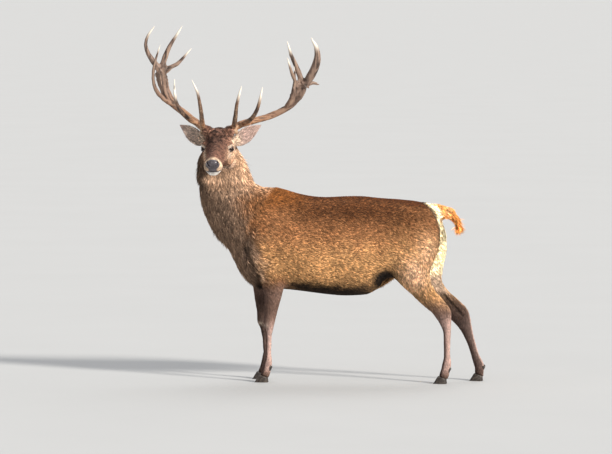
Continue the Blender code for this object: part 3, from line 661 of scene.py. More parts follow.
chin = bump_at(local, (0.215, 0.0, -0.084), (0.028, 0.034, 0.018))
chin = chin * step(MOUTH_LEVEL - 0.002, MOUTH_LEVEL - 0.010, u)
points = points + out * move[:, None] - (head_forward * NOSTRIL_DEPTH) * nostril[:, None]
points += chin[:, None] * (head_forward * 0.008 - head_up * 0.006)
put(skin.data, spread(points, edges(skin.data), 2, mask=step(0.21, 0.22, f) * 0.8))
print("nostrils", round(NOSTRIL_DEPTH * 1000), "mm deep, mouth", round(MOUTH_DEPTH * 1000, 1), "mm")

# %% [markdown]
# A lid is skin draped over the eyeball. It could be a separate shell, but then its border with the face
# would show. So every vertex near the eye is sent to a wanted distance from the eye's centre: a lid's
# thickness over the ball, a fold above it, and deep inside where the almond opening is, so that the ball
# shows there.

# %% Eyelids
EYE_LOOK = unit(np.array((0.56, 0.82, 0.10)))
EYE_ALONG = unit(np.cross(EYE_LOOK, np.array((-0.20, 0.0, 1.0))))
EYE_OVER = np.cross(EYE_ALONG, EYE_LOOK)
EYE_OVER *= math.copysign(1, EYE_OVER[2])
OPENING_LENGTH, OPENING_TOP, OPENING_BOTTOM = 0.0208, 0.0106, 0.0094
LID, EYE_SOCKET = 0.0021, 0.0045
points = places(skin.data)
local = in_head(points)
f, a, u = local.T
eye_gap = np.stack((f, np.abs(a) - in_head(eye_places["left"])[1], u), 1)
reach = np.linalg.norm(eye_gap, axis=1)
facing = unit(eye_gap)
angle = np.arccos(np.clip(facing @ EYE_LOOK, -1, 1))
swing = unit(np.stack((facing @ EYE_ALONG, facing @ EYE_OVER), 1))
arc = angle * EYE_RADIUS
across, over = arc * swing[:, 0], arc * swing[:, 1]
half = np.where(over > 0, OPENING_TOP, OPENING_BOTTOM)
long_way_out = (across / OPENING_LENGTH) ** 2
lid_edge = np.sqrt(long_way_out + (over / half) ** 2 * (1 + 0.5 * long_way_out))
around = step(0.042, 0.036, reach)
drape = step(1.75, 1.2, lid_edge) * around
target = EYE_RADIUS + LID + 0.0012 * np.exp(-((lid_edge - 1.12) / 0.12) ** 2)
wanted = reach + (target - reach) * drape
least = (EYE_RADIUS + LID) * step(2.6, 1.6, lid_edge) * around
wanted = np.where(around > 0, np.maximum(wanted, least), wanted)
wanted = wanted - 0.0016 * np.exp(-((lid_edge - 1.55) / 0.13) ** 2) * around
inside = step(1.06, 0.94, lid_edge) * around
wanted = wanted + (EYE_RADIUS - EYE_SOCKET - wanted) * inside
shift = (facing * (wanted - reach)[:, None]) * (around > 0)[:, None]
shift[:, 1] *= np.sign(a)
points = points + shift @ head_axes
put(skin.data, points)
print("eye openings", round(OPENING_LENGTH * 2000, 1), "mm long")

# %% [markdown]
# Before each eye a deer has a gland that opens as a slit, with a raised rim over it. It runs down and
# forward across the cheek. The same line serves both cheeks, because the places are folded on to the left
# one first.

# %% Gland slit before each eye
GLAND_SLIT = [(0.030, 0.08, -0.013), (0.046, 0.08, -0.020), (0.064, 0.08, -0.031)]
SLIT_RIM = [(0.026, 0.08, -0.006), (0.048, 0.08, -0.011), (0.070, 0.08, -0.027)]
SLIT_DEPTH, SLIT_RIM_HEIGHT = 0.0055, 0.0025


def both_sides(local):
    """Places of the head's frame with both cheeks laid on the left one, and pressed half flat."""
    return np.stack((local[:, 0], np.abs(local[:, 1]) * 0.4 + 0.048, local[:, 2]), 1)


local = in_head(points)
slit = groove(both_sides(local), GLAND_SLIT, 0.0036)
slit_rim = groove(both_sides(local), SLIT_RIM, 0.006)
move = (SLIT_RIM_HEIGHT * slit_rim - SLIT_DEPTH * slit) * step(0.035, 0.05, np.abs(local[:, 1]))
put(skin.data, points + normals(skin.data) * move[:, None])
print("face sculpted after", round(time.time() - started, 1), "s")
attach(skin, "root")
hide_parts(*REGIONS)

# %% [markdown]
# ## Eyes
# A deer's eye is a dark, wet ball of which only an almond shows between the lids. A UV sphere of the
# packed eye's size makes it, whole and closed, so that the lids can be any shape. Its front is drawn out a
# little where the clear cornea bulges, and two numbers are stored on it that later place the iris and its
# level, bar-shaped pupil.

# %% Eyeballs
CORNEA_BULGE = 0.0011


def eyeball(side):
    """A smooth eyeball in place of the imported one, with a low bulge for the cornea."""
    bpy.ops.object.select_all(action="DESELECT")
    bpy.ops.mesh.primitive_uv_sphere_add(segments=48, ring_count=32, radius=EYE_RADIUS,
                                         location=eye_places[side])
    ball = bpy.context.object
    ball.name = "eyeball_" + side
    bpy.ops.object.transform_apply(location=True, rotation=True, scale=True)
    look = EYE_LOOK * np.array((1, 1 if side == "left" else -1, 1)) @ head_axes
    points = places(ball.data)
    ahead = unit(points - eye_places[side]) @ look
    put(ball.data, points + look * (CORNEA_BULGE * step(0.80, 0.97, ahead))[:, None])
    ball.data.shade_smooth()
    on_left = (unit(points - eye_places[side]) @ head_axes.T) * (1, 1 if side == "left" else -1, 1)
    write(ball.data, "along", on_left @ EYE_ALONG)
    write(ball.data, "over", on_left @ EYE_OVER)
    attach(ball, "root")
    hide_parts("eye_" + side)
    return ball


eyeballs = {side: eyeball(side) for side in SIDES}
print("eyeballs of", round(EYE_RADIUS * 2000, 1), "mm")

# %% [markdown]
# The edge of each lid is bare, dark and wet. It is a thin closed ring that follows the almond opening over
# the ball. A bevelled curve is the easiest way to a tube that follows a line, and it is turned into a mesh
# at the end.

# %% Lid edges
LID_EDGE_RADIUS = 0.0018


def lid_ring(side):
    """A thin ring along the opening of the lids, on a ball slightly larger than the eye."""
    shape = bpy.data.curves.new("lid_ring", "CURVE")
    shape.dimensions = "3D"
    shape.bevel_depth = LID_EDGE_RADIUS
    shape.bevel_resolution = 2
    spline = shape.splines.new("POLY")
    spline.use_cyclic_u = True
    turns = np.linspace(0, 2 * math.pi, 56, endpoint=False)
    x = np.cos(turns)
    y = np.sqrt((1 - x * x) / (1 + 0.5 * x * x)) * np.where(turns < math.pi, OPENING_TOP, -OPENING_BOTTOM)
    x = x * OPENING_LENGTH
    turn = np.hypot(x, y) / EYE_RADIUS
    aside = unit(x[:, None] * EYE_ALONG + y[:, None] * EYE_OVER)
    ring = (np.cos(turn)[:, None] * EYE_LOOK + np.sin(turn)[:, None] * aside) * (EYE_RADIUS + 0.0009)
    ring[:, 1] *= 1 if side == "left" else -1
    spline.points.add(len(ring) - 1)
    for point, place in zip(spline.points, ring @ head_axes + eye_places[side]):
        point.co = (*place, 1.0)
    curve = new_piece("lid_ring", shape)
    only(curve)
    bpy.ops.object.convert(target="MESH")
    rim = bpy.context.object
    rim.name = "lid_edge_" + side
    rim.data.name = rim.name
    rim.data.shade_smooth()
    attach(rim, "root")
    return rim


lid_edges = [lid_ring(side) for side in SIDES]
print("lid edges", [len(rim.data.polygons) for rim in lid_edges], "faces")

# %% [markdown]
# ## Antlers
# An antler is bone: a beam with a knobbly burr at its foot, grooves that run along it where blood vessels
# lay, and tines rubbed white at their tips. An image could give the grooves, but they have to be real
# ones, because the outline shows them. The first tools find the direction along a branch from the normals
# around it, and draw chance values out along that direction.

# %% Antler tools
def round_off(points, mesh, rounds, even_rounds):
    """Evens out flats, then puts back the mean shrinkage, so that a thin tine keeps its thickness."""
    pairs, out = edges(mesh), normals(mesh)
    smooth = spread(points, pairs, rounds)
    lost = ((points - smooth) * out).sum(1)
    return smooth + out * spread(lost, pairs, even_rounds)[:, None]


def long_way(mesh, rounds=26):
    """The direction along a branch at every vertex: the one that the normals round about keep away from."""
    out = normals(mesh)
    tensor = spread((out[:, :, None] * out[:, None, :]).reshape(-1, 9), edges(mesh), rounds).reshape(-1, 3, 3)
    return np.linalg.eigh(tensor)[1][:, :, 0]


def streaks(mesh, points, way, rounds, seed):
    """Chance values drawn out along the branch, as grooves are."""
    pairs = edges(mesh)
    a, b = pairs.T
    run = unit(points[b] - points[a])
    weight = (np.abs((run * way[a]).sum(1)) + np.abs((run * way[b]).sum(1))) ** 6 + 1e-4
    total = np.bincount(a, weight, len(points)) + np.bincount(b, weight, len(points))
    value = np.random.default_rng(seed).normal(size=len(points))
    for _ in range(rounds):
        pull = np.bincount(a, weight * value[b], len(points)) + np.bincount(b, weight * value[a], len(points))
        value = pull / total
    return (value - value.mean()) / value.std()


def near_seeds(points, seeds):
    """Distance from every point to the nearest of some seeds."""
    found = KDTree(len(seeds))
    for i, seed in enumerate(seeds):
        found.insert(seed, i)
    found.balance()
    return np.array([found.find(point)[2] for point in points])


# %% [markdown]
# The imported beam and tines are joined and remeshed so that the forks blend. At the crown the branches are
# swollen before they are joined and shrunk afterwards, which leaves a web of bone in the forks, as a real
# crown has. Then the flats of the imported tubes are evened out.

# %% Join and web the branches
WEB = 0.010
WEB_VOXEL, ANTLER_VOXEL = 0.0030, 0.0027


def merged(node):
    """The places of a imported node's corners, each only once."""
    return np.unique(places(nodes[node].data).round(5), axis=0)


def antler_form(side, names, web_at):
    """The joined branches of one antler, with webs where web_at says how deep."""
    copies = [copied(name, 0.0007) for name in names]
    for piece in copies:
        points = places(piece.data)
        put(piece.data, points + normals(piece.data) * web_at(points)[:, None])
    piece = joined("antler_" + side, copies)
    applied(piece, "REMESH", mode="VOXEL", voxel_size=WEB_VOXEL)
    keep_largest(piece)
    mesh = piece.data
    share = web_at(places(mesh)) / 5
    for _ in range(5):
        put(mesh, places(mesh) - normals(mesh) * share[:, None])
    applied(piece, "REMESH", mode="VOXEL", voxel_size=ANTLER_VOXEL)
    keep_largest(piece)
    put(mesh, round_off(places(mesh), mesh, 16, 16))
    put(mesh, round_off(places(mesh), mesh, 12, 14))
    put(mesh, spread(places(mesh), edges(mesh), 30, mask=web_at(places(mesh)) / WEB))
    return piece


# %% [markdown]
# A stag rubs his antlers against trees, so the tines end in points that are polished white, while the beam
# stays dark in its grooves. Every tine is drawn in to a blunt point at its packed end. The polish leaves
# out the small snags, and it is kept to the vertices that lie nearest to their own tine, because the
# crown's tines stand close together.

# %% Points of the tines
TIP_LENGTH = 0.030
TIP_REACH = 0.0095


def pointed(points, end, branch):
    """Draws the last of a tine in to a blunt point at its packed end."""
    nearest = branch[np.linalg.norm(branch - end, axis=1).argsort()[1:25]]
    back = unit(nearest.mean(0) - end)
    along = (points - end) @ back
    from_axis = points - end - along[:, None] * back
    radius = np.linalg.norm(from_axis, axis=1)
    close = (np.abs(along) < TIP_LENGTH) & (radius < TIP_REACH)
    thick_end = close & (along > 0.7 * TIP_LENGTH)
    if not np.any(thick_end):
        return points
    along = along[close].clip(0.0004, None)
    most = np.median(radius[thick_end]) * (along / TIP_LENGTH) ** 0.6
    from_axis = from_axis[close] * np.minimum(1, most / radius[close].clip(1e-6))[:, None]
    points[close] = end + along[:, None] * back + from_axis
    return points


def nearest_of(points, names):
    """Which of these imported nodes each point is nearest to, as a number in their list."""
    trees = []
    for name in names:
        mesh = nodes[name].data
        faces = [list(face.vertices) for face in mesh.polygons]
        trees.append(BVHTree.FromPolygons(places(mesh).tolist(), faces))
    gaps = [[tree.find_nearest(point)[3] for tree in trees] for point in points.tolist()]
    return np.array(gaps).argmin(1)


def rub_tines(mesh, names, beam):
    """Points every tine, and says how polished each vertex is and how far out on a tine it lies."""
    points = places(mesh)
    polish, on_tine = np.zeros(len(points)), np.zeros(len(points))
    nearest = nearest_of(points, names)
    for number, name in enumerate(names):
        if name.endswith("beam"):
            continue
        branch = merged(name)
        gap = np.linalg.norm(branch[:, None] - beam[None], axis=2).min(1)
        end, length = branch[gap.argmax()], gap.max()
        points = pointed(points, end, branch)
        from_end = np.linalg.norm(points - end, axis=1) / length
        on_tine = np.maximum(on_tine, step(1.0, 0.75, from_end))
        if not name.endswith("snag"):
            own = spread((nearest == number) * 1.0, edges(mesh), 2)
            polish = np.maximum(polish, step(0.40, 0.14, from_end) * own)
    put(mesh, points)
    return points, polish, on_tine


# %% [markdown]
# Grooves are streaks cut along the beam, a fine set over a broad one. Pearls are small knobs that crowd
# towards the foot, where larger ones make the burr. All are raised on the mesh itself and also stored as
# numbers, so that the bone's colour can be dark in a groove and pale on a pearl.

# %% Grooves, pearls and the finished antlers
PEARL_REACH, PEARL_SIZE, KNOB_SIZE = 0.42, 0.0030, 0.0062
PEARL_HEIGHT, KNOB_HEIGHT = 0.0013, 0.0030
FINE_GROOVE, BROAD_GROOVE = 0.0008, 0.0013


def carve(mesh, points, from_foot, polish, on_tine, webbed, seed):
    """Cuts the grooves, raises the pearls, and stores both for the finish."""
    way, out = long_way(mesh), normals(mesh)
    fine = spread(streaks(mesh, points, way, 60, seed), edges(mesh), 2)
    broad = spread(streaks(mesh, points, way, 220, seed + 1), edges(mesh), 3)
    chance = np.random.default_rng(seed + 2)
    low_part = np.flatnonzero(from_foot < PEARL_REACH)
    keep = low_part[chance.random(len(low_part)) < 0.05 * step(PEARL_REACH, 0.05, from_foot[low_part])]
    pearls = np.exp(-(near_seeds(points, points[keep]) / PEARL_SIZE) ** 2) * step(0.45, 0.10, from_foot)
    knobs = np.exp(-(near_seeds(points, points[keep[::3]]) / KNOB_SIZE) ** 2) * step(0.055, 0.030, from_foot)
    groove_depth = (1 - polish) * (0.5 + 0.5 * step(0.75, 0.15, from_foot)) * (1 - 0.65 * on_tine)
    groove_depth = groove_depth * (1 - 0.8 * webbed)
    raised = (FINE_GROOVE * fine.clip(-2, 1.2) + BROAD_GROOVE * broad.clip(-2, 1.5)) * groove_depth
    raised += PEARL_HEIGHT * pearls * (1 - 0.6 * on_tine) + KNOB_HEIGHT * knobs
    put(mesh, points + out * raised[:, None])
    write(mesh, "polish", polish)
    write(mesh, "groove", -(0.6 * fine + 0.8 * broad) * (1 - polish))
    write(mesh, "pearl", pearls + knobs)
    write(mesh, "low", step(0.50, 0.12, from_foot))
    write(mesh, "tine", on_tine * (1 - polish))


def antler(side, seed):
    """One antler in place of its packed beam and tines."""
    names = sorted(node for node in nodes if node.startswith("antler_" + side))
    beam = merged("antler_" + side + "_beam")
    palm = beam[beam[:, 2] > beam[:, 2].max() - 0.14].mean(0)

    def web_at(points):
        return WEB * step(0.130, 0.060, np.linalg.norm(points - palm, axis=1))

    piece = antler_form(side, names, web_at)
    points, polish, on_tine = rub_tines(piece.data, names, beam)
    foot = beam[np.linalg.norm(beam - head_centre, axis=1).argsort()[:12]].mean(0)
    from_foot = np.linalg.norm(points - foot, axis=1)
    carve(piece.data, points, from_foot, polish, on_tine, web_at(points) / WEB, seed)
    piece.data.shade_smooth()
    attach(piece, "root")
    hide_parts(*names)
    return piece


antlers = [antler(side, seed) for side, seed in (("left", 31), ("right", 41))]
face_counts = [len(piece.data.polygons) for piece in antlers]
print("antlers", face_counts, "faces,", round(time.time() - started, 1), "s")

# %% [markdown]
# ## Hooves and dewclaws
# Each foot stands on two claws of dark horn, with two small dewclaws behind. A claw keeps its flat sole,
# its other edges are rounded, and faint rings of growth run round the wall. A dewclaw must sit on its leg,
# and the skin has been sunk and sculpted since the packing, so each one is leant and moved until it meets
# the skin again.

# %% Build the hooves
RING_HEIGHT, SOLE_EDGE = 0.00022, 0.006
FARTHEST_MOVE = 0.016
skin_points = places(skin.data)


def to_leg(place, reach):
    """The move that brings a place to within this reach of the leg's skin."""
    way = skin_points[np.linalg.norm(skin_points - place, axis=1).argmin()] - place
    gap = np.linalg.norm(way)
    return way / gap * min(max(gap - reach, 0.0), FARTHEST_MOVE)


def seated(node, points):
    """The places of a dewclaw, narrowed at its foot and sheared until it meets the leg above and below."""
    low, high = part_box(node)
    upright = step(low.z, high.z, points[:, 2])[:, None]
    points[:, :2] += (middle(node)[:2] - points[:, :2]) * (0.5 - 0.5 * (upright / 0.75).clip(0, 1))
    reach = 0.22 * min(high.x - low.x, high.y - low.y)
    rise = np.array((0.0, 0.0, 0.32 * (high.z - low.z)))
    top_move, foot_move = to_leg(middle(node) + rise, -0.004), to_leg(middle(node) - rise, reach)
    return points + (upright * top_move + (1 - upright) * foot_move)


def horn_claw(node, voxel, ring_spacing):
    """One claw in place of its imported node."""
    piece = copied(node, 0.0)
    piece.name = node + "_horn"
    piece.data.name = piece.name
    applied(piece, "REMESH", mode="VOXEL", voxel_size=voxel)
    mesh = piece.data
    points, pairs = places(mesh), edges(mesh)
    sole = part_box(node)[0].z
    free = step(sole + 0.0005, sole + SOLE_EDGE, points[:, 2])
    points = spread(points, pairs, 14, mask=free)
    if node.startswith("dewclaw"):
        points = seated(node, points)
    put(mesh, points)
    points, out = places(mesh), normals(mesh)
    wall = 1 - np.abs(out[:, 2])
    ring = np.sin((points[:, 2] + 0.0012 * ripple(points, 0.03, 5)) * 2 * math.pi / ring_spacing)
    put(mesh, points + out * (RING_HEIGHT * ring * wall * free)[:, None])
    write(mesh, "ring", ring * wall)
    mesh.shade_smooth()
    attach(piece, "root")
    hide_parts(node)
    return piece


claws = [horn_claw(node, 0.0022, 0.0045) for node in sorted(nodes) if node.startswith("hoof_")]
claws += [horn_claw(node, 0.0018, 0.0035) for node in sorted(nodes) if node.startswith("dewclaw_")]
print(len(claws), "claws of horn")

# %% [markdown]
# ## An unwrap of the skin
# Each tuft of hair gets a small patch at its root's place on an unwrap of the skin, where a bake of the
# colours would give it its root's colour. Seams could be marked by hand, but none of them would show under
# the hair, so Smart Project cuts the skin into nearly flat islands by the way that its faces point.

# %% Unwrap the skin
only(skin)
skin.data.uv_layers.new(name="OFBake")
bpy.ops.object.mode_set(mode="EDIT")
bpy.ops.mesh.select_all(action="SELECT")
bpy.ops.uv.smart_project(angle_limit=math.radians(66), island_margin=0.001)
bpy.ops.object.mode_set(mode="OBJECT")
print("unwrapped after", round(time.time() - started, 1), "s")

# %% [markdown]
# ## The lie of the coat
# Hair grows in a direction, and it is this that makes a coat look combed by nature. It runs back along the
# trunk, down the legs, down the neck, from the nose up over the forehead, and out along the ears. A
# direction is named for each region, evened out where regions meet, swayed a little by a slow ripple, and
# laid flat on the skin.

# %% Directions of the hair
points, pairs = places(skin.data), edges(skin.data)
outward = normals(skin.data)
local = in_head(points)
f, a, u = local.T
x, y, z = points.T
table = regions_of(points)
shares = spread(table, pairs, 14)
LIE = {"trunk": (0.94, 0.0, -0.34), "neck": (0.34, 0.08, -0.94), "head": tuple(-head_forward),
       "tail": (tail_high.x - tail_low.x, 0.0, tail_low.z - tail_high.z),
       "forearm": (0.10, 0.0, -0.99), "thigh": (0.42, 0.0, -0.90), "cannon": (0.03, 0.0, -1.0)}


def lie_of(region):
    """The direction of the hair in one region: out towards the tip on an ear, else from the table."""
    if region not in EARS:
        return unit(np.array(LIE[kind_of(region)], float))
    low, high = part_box(region)
    aside = 1.0 if region == "ear_left" else -1.0
    return unit(np.array((aside * (high.x - low.x), 0.3 * (high.y - low.y), high.z - low.z), float))


lie = sum(shares[:, [i]] * lie_of(name) for i, name in enumerate(REGIONS))
lie[:, 0] += 0.25 * np.sign(a) * step(0.03, 0.09, np.abs(a)) * in_region(shares, "head")
lie[:, 2] -= 0.35 * step(0.0, -0.08, u) * in_region(shares, "head")
down_tail = shares[:, [REGIONS.index("tail")]] * step(tail_low.x + 0.06, tail_high.x - 0.02, x)[:, None]
lie = lie * (1 - down_tail) + down_tail * np.array((-0.10, 0.0, -1.0))
lie = spread(lie, pairs, 10)


def laid_flat(way, outward):
    """The part of a direction that lies along the surface, at length one."""
    return unit(way - outward * (way * outward).sum(1, keepdims=True))


lie = laid_flat(lie, outward)
sway = 0.22 * ripple(points, 0.22, 3) + 0.10 * ripple(points, 0.07, 4)
lie = lie * np.cos(sway)[:, None] + np.cross(outward, lie) * np.sin(sway)[:, None]
print("lie of the coat after", round(time.time() - started, 1), "s")

# %% [markdown]
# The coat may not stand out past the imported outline, so the room between the skin and that outline is
# measured at every vertex, and later limits how high a tuft can reach.

# %% Room for the coat
MOST_ROOM = 0.02
room = spread(np.array([tree.find_nearest(point)[3] for point in points.tolist()]), pairs, 3)
room = np.minimum(room, MOST_ROOM)
print("room for hair up to", round(room.max() * 1000, 1), "mm")

# %% [markdown]
# ## Markings
# Skin and coat carry the same markings, so both read the same masks. They could be painted by hand, but a
# mask worked out from named heights, the way the surface faces and the regions can be read and changed.
# Each one is a soft share from 0 to 1 at every vertex of the skin. The shares of the regions come first,
# because every marking starts from one of them.

# %% Shares of the regions
trunk_share = in_region(shares, "trunk")
neck_share = in_region(shares, "neck")
head_share = in_region(shares, "head")
tail_share = in_region(shares, "tail")
ear_share = in_region(shares, *EARS)
thigh_share = in_region(shares, *THIGHS)
forearm_share = in_region(shares, *FOREARMS)
cannon_share = in_region(shares, *CANNONS)
body_share = (trunk_share + thigh_share).clip(0, 1)
from_midline = np.abs(y - MIDLINE)
faces_in = step(0.2, 0.7, outward[:, 1] * np.sign(MIDLINE - y))
blur = 0.5 + 0.5 * ripple(points, 0.10, 11)
masks = {}
print("shares of", len(REGIONS), "regions at", len(points), "vertices")

# %% [markdown]
# A red deer's summer coat is rust red. It turns gold low on the flanks, partly as painted light, and dark
# brown along the back, where painted shade darkens the surfaces that face up. Under the belly it is dark,
# deepened to almost black by painted shade. The mane is grey-brown, with painted light on the side of the
# upper neck that faces the key light and a painted shadow of the head at the throat. The borders are heights
# and places in metres, and a slow ripple keeps them from being straight.

# %% Trunk and neck
MANE_BORDER, WITHERS_HEIGHT = -0.37, 1.17
toward_flank = 0.06 * step(0.35, 0.6, x)
# Painted light: the gold low on the flanks is partly the coat's own colour and partly painted light.
masks["gold_and_painted_light"] = body_share * step(1.00, 0.72, z - toward_flank + 0.04 * blur)
croup = step(0.45, 0.65, x)
saddle = step(0.90, 1.10, z + 0.03 * blur) * step(-0.24, 0.02, x)
saddle = saddle * (0.85 - 0.38 * croup * step(1.14, 1.06, z))
# Painted shade: the surfaces along the back that face up are darkened on top of the dark brown back.
top_painted_shade = step(0.55, 0.97, outward[:, 2]) * step(0.98, 1.05, z) * step(-0.22, -0.02, x)
masks["back"] = (trunk_share + thigh_share + 0.4 * neck_share).clip(0, 1) * np.maximum(saddle, top_painted_shade)
masks["red"] = trunk_share * step(0.06, -0.12, x) * step(1.02, 1.15, z)
mane_border = MANE_BORDER - 0.35 * (np.minimum(z, 1.10) - 0.95) + 0.8 * np.maximum(z - WITHERS_HEIGHT, 0)
mane_border += 0.03 * ripple(points, 0.12, 12)
masks["mane"] = (neck_share + trunk_share).clip(0, 1) * step(mane_border + 0.06, mane_border - 0.09, x)
upper_neck = step(1.14, 1.26, z) * step(1.55, 1.45, z)
# Painted light on the side of the upper neck that faces the key light.
masks["neck_painted_light"] = neck_share * step(-0.35, 0.35, outward[:, 0]) * upper_neck
# Painted shadow of the head on the front of the upper neck.
masks["neck_painted_shadow"] = 0.8 * neck_share * step(0.1, -0.5, outward[:, 0]) * step(1.14, 1.28, z)
print("marked:", ", ".join(masks))

# %% [markdown]
# The legs are grey-brown, paler on the cannons and darker down the front of the shin. Their inner side, the
# side that shows on the far legs, is darkened by painted shade. The dark of the belly, deepened by painted
# shade, also fills the hollow of the flank, the breast and every crease as painted shade, where the coat lies
# in its own shade.

# %% Legs, belly and creases
CREASE_WIDTH, BREAST_WIDTH, TENDON_WIDTH, INNER_WIDTH = 0.018, 0.045, 0.007, 0.009
leg_share = cannon_share + forearm_share * step(0.66, 0.56, z) + thigh_share * step(0.58, 0.42, z)
masks["leg"] = leg_share.clip(0, 1)
masks["cannon"] = cannon_share * step(0.50, 0.36, z) * step(0.05, 0.10, z)
shin_front = step(-0.2, -0.8, outward[:, 0]) * step(0.75, 0.5, z)
masks["shin"] = (cannon_share + forearm_share * 0.7).clip(0, 1) * shin_front
masks["inside"] = thigh_share * faces_in * step(0.50, 0.58, z)
whole_leg = (cannon_share + thigh_share + forearm_share).clip(0, 1)
# Painted shade on the inner faces of all legs, the side that shows on the far legs.
masks["inner"] = 0.85 * whole_leg * faces_in * step(0.60, 0.50, z)
flat_on = side_on(points)
# Painted shade in the crease before the shoulder, on the breast and in the hollow of the flank.
crease_painted_shade = groove(flat_on, CREASE, CREASE_WIDTH) * step(0.03, 0.08, from_midline)
breast_painted_shade = groove(flat_on, BREAST, BREAST_WIDTH) * (trunk_share + neck_share)
tendon = groove(flat_on, TENDON, TENDON_WIDTH) * (y < MIDLINE) * thigh_share
inner_tendon = groove(flat_on, INNER_TENDON, INNER_WIDTH) * (y > MIDLINE) * (thigh_share + cannon_share)
underside = step(-0.48, -0.84, outward[:, 2] + 0.10 * (blur - 0.5)) * step(0.74, 0.64, z)
pocket_painted_shade = (3.0 * pocket_at(points)).clip(0, 1) * (trunk_share + thigh_share)
belly_and_painted_shade_parts = (trunk_share * underside, 0.85 * crease_painted_shade * (trunk_share + neck_share), 0.55 * breast_painted_shade,
              0.7 * tendon, 0.9 * inner_tendon, pocket_painted_shade)
# The belly's own dark brown is deepened underneath by painted shade, and joined with the painted shade of the
# creases.
masks["belly"] = np.maximum.reduce(belly_and_painted_shade_parts).clip(0, 1)
print("marked:", ", ".join(masks))

# %% [markdown]
# The rump carries a cream patch that runs from the root of the tail down the back of the thighs, with a
# thin dark border in front. Its edge is a curve seen from the side: cubic above the widest place and
# square below it. The tail is ginger, and painted light makes the ham and the stifle lighter and yellower.

# %% Rump, thighs and tail
RUMP_X, RUMP_Z, RUMP_UPPER, RUMP_LOWER = 0.794, 0.905, 12.0, 1.7
CLEFT_HALF_WIDTH = 0.105
on_right = step(-0.03, 0.03, y - MIDLINE)
rump_border = RUMP_X - RUMP_UPPER * (z - RUMP_Z).clip(0, None) ** 3
rump_border -= RUMP_LOWER * (0.35 + 0.65 * on_right) * (RUMP_Z - z).clip(0, None) ** 2
cleft = 1.1 * (CLEFT_HALF_WIDTH - from_midline).clip(0, None) * step(1.06, 0.99, z)
over_border = x - rump_border + cleft
behind = body_share * step(0.64, 0.72, z)
ham = bump_at(flat_on, (0.715, 0.0, 0.790), (0.070, 1.0, 0.110))
stifle = bump_at(flat_on, (0.640, 0.0, 0.685), (0.085, 1.0, 0.095))
# Painted light on the ham and the stifle.
masks["thigh_painted_light"] = body_share * np.maximum(0.6 * ham, stifle) * step(0.010, -0.015, over_border)
border_line = np.exp(-((over_border + 0.006) / 0.006) ** 2)
masks["dark"] = 0.9 * behind * border_line * step(1.13, 1.06, z) * step(0.70, 0.78, z)
masks["rump"] = (behind + tail_share).clip(0, 1) * step(-0.004, 0.008, over_border + 0.004 * blur)
on_tail = np.maximum((tail_share * 2.5).clip(0, 1), trunk_share * step(1.00, 1.03, z))
masks["tail"] = on_tail * step(0.022, 0.050, over_border + 0.010 * blur)
print("cream over", round(float((masks["rump"] > 0.5).mean()) * 100, 1), "% of the vertices")

# %% [markdown]
# The face has a dark brown forehead between buff cheeks, pale hair round the eyes, a pale ring behind the
# nose pad and a white chin. The ears are dark behind and at the rim, and pink-grey inside, with painted light
# making the inside of the right ear paler. All of these are placed in the head's frame, so they follow the
# head however it is turned.

# %% Face and ears
half_head = folded(local)
masks["face"] = (head_share * 1.15).clip(0, 1)
temple = bump_at(half_head, (-0.045, 0.105, 0.0), (0.040, 0.035, 0.050))
cheek_side = step(0.045, 0.085, np.abs(a)) * step(0.05, -0.03, u)
masks["cheek"] = head_share * np.maximum(cheek_side, temple)
masks["brow_dark"] = head_share * step(0.075, 0.03, np.abs(a)) * step(0.17, 0.02, f) * step(-0.01, 0.03, u)
eye_distance = np.linalg.norm((half_head - (0.0, 0.080, 0.0)) * (1, 1, 1.15), axis=1)
lid_band = np.exp(-((lid_edge - 1.72) / 0.32) ** 2) * around
over_eye = 1.2 * lid_band * step(-0.002, 0.003, over)
under_eye = 0.9 * bump_at(half_head, (0.016, 0.085, -0.034), (0.026, 0.030, 0.015))
pale_parts = (0.30 * step(0.040, 0.026, eye_distance), over_eye, 0.6 * lid_band, under_eye)
below_knee = np.exp(-((z - KNEE_HEIGHT + 0.014) / 0.007) ** 2) * step(0.3, 0.0, x)
below_knee = below_knee * step(0.4, -0.4, outward[:, 0])
masks["pale"] = (head_share * np.maximum.reduce(pale_parts)).clip(0, 1)
masks["pale"] = np.maximum(masks["pale"], 0.55 * below_knee * (cannon_share + forearm_share).clip(0, 1))
# Painted shadow of the mouth: the band of bare lip under the nose pad is kept dark.
bare_lip_and_painted_shadow = step(-0.026, -0.036, u) * step(0.031, 0.019, np.abs(a))
bare_lip_and_painted_shadow = bare_lip_and_painted_shadow * step(MOUTH_LEVEL - 0.004, MOUTH_LEVEL + 0.001, u)
bare_lip_and_painted_shadow = bare_lip_and_painted_shadow * step(0.212, 0.226, f)
round_muzzle = step(0.223, 0.240, f + 0.10 * np.maximum(np.abs(a) - 0.03, 0))
masks["ring"] = head_share * round_muzzle * (1 - bare_lip_and_painted_shadow)
masks["chin"] = head_share * step(0.165, 0.205, f) * step(-0.059, -0.066, u) * step(0.054, 0.040, np.abs(a))
masks["throat"] = (head_share * step(-0.09, -0.125, u) * step(0.16, 0.10, f)).clip(0, 1)
ear_open = np.stack((0.10 * np.sign(a), -np.ones(len(a)), np.full(len(a), -0.16)), 1)
ear_turn = (outward * unit(ear_open)).sum(1)
in_ear = ear_share * step(0.0, 0.35, ear_turn)
ear_rim = in_region(table, *EARS) * step(0.45, 0.15, np.abs(ear_turn))
masks["ear_inside"] = (in_ear * 1.3).clip(0, 0.86)
# Painted light inside the right ear only.
masks["right_ear_painted_light"] = 0.5 * in_ear * (a < 0) * step(0.25, 0.19, np.abs(a))
masks["ear_back"] = (ear_share - in_ear + 1.1 * spread(ear_rim, pairs, 1)).clip(0, 1)
ear_foot = bump_at(half_head, (-0.085, 0.105, 0.020), (0.045, 0.030, 0.045))
masks["ear_foot"] = ((head_share + ear_share) * ear_foot).clip(0, 1)
print("marked:", ", ".join(masks))

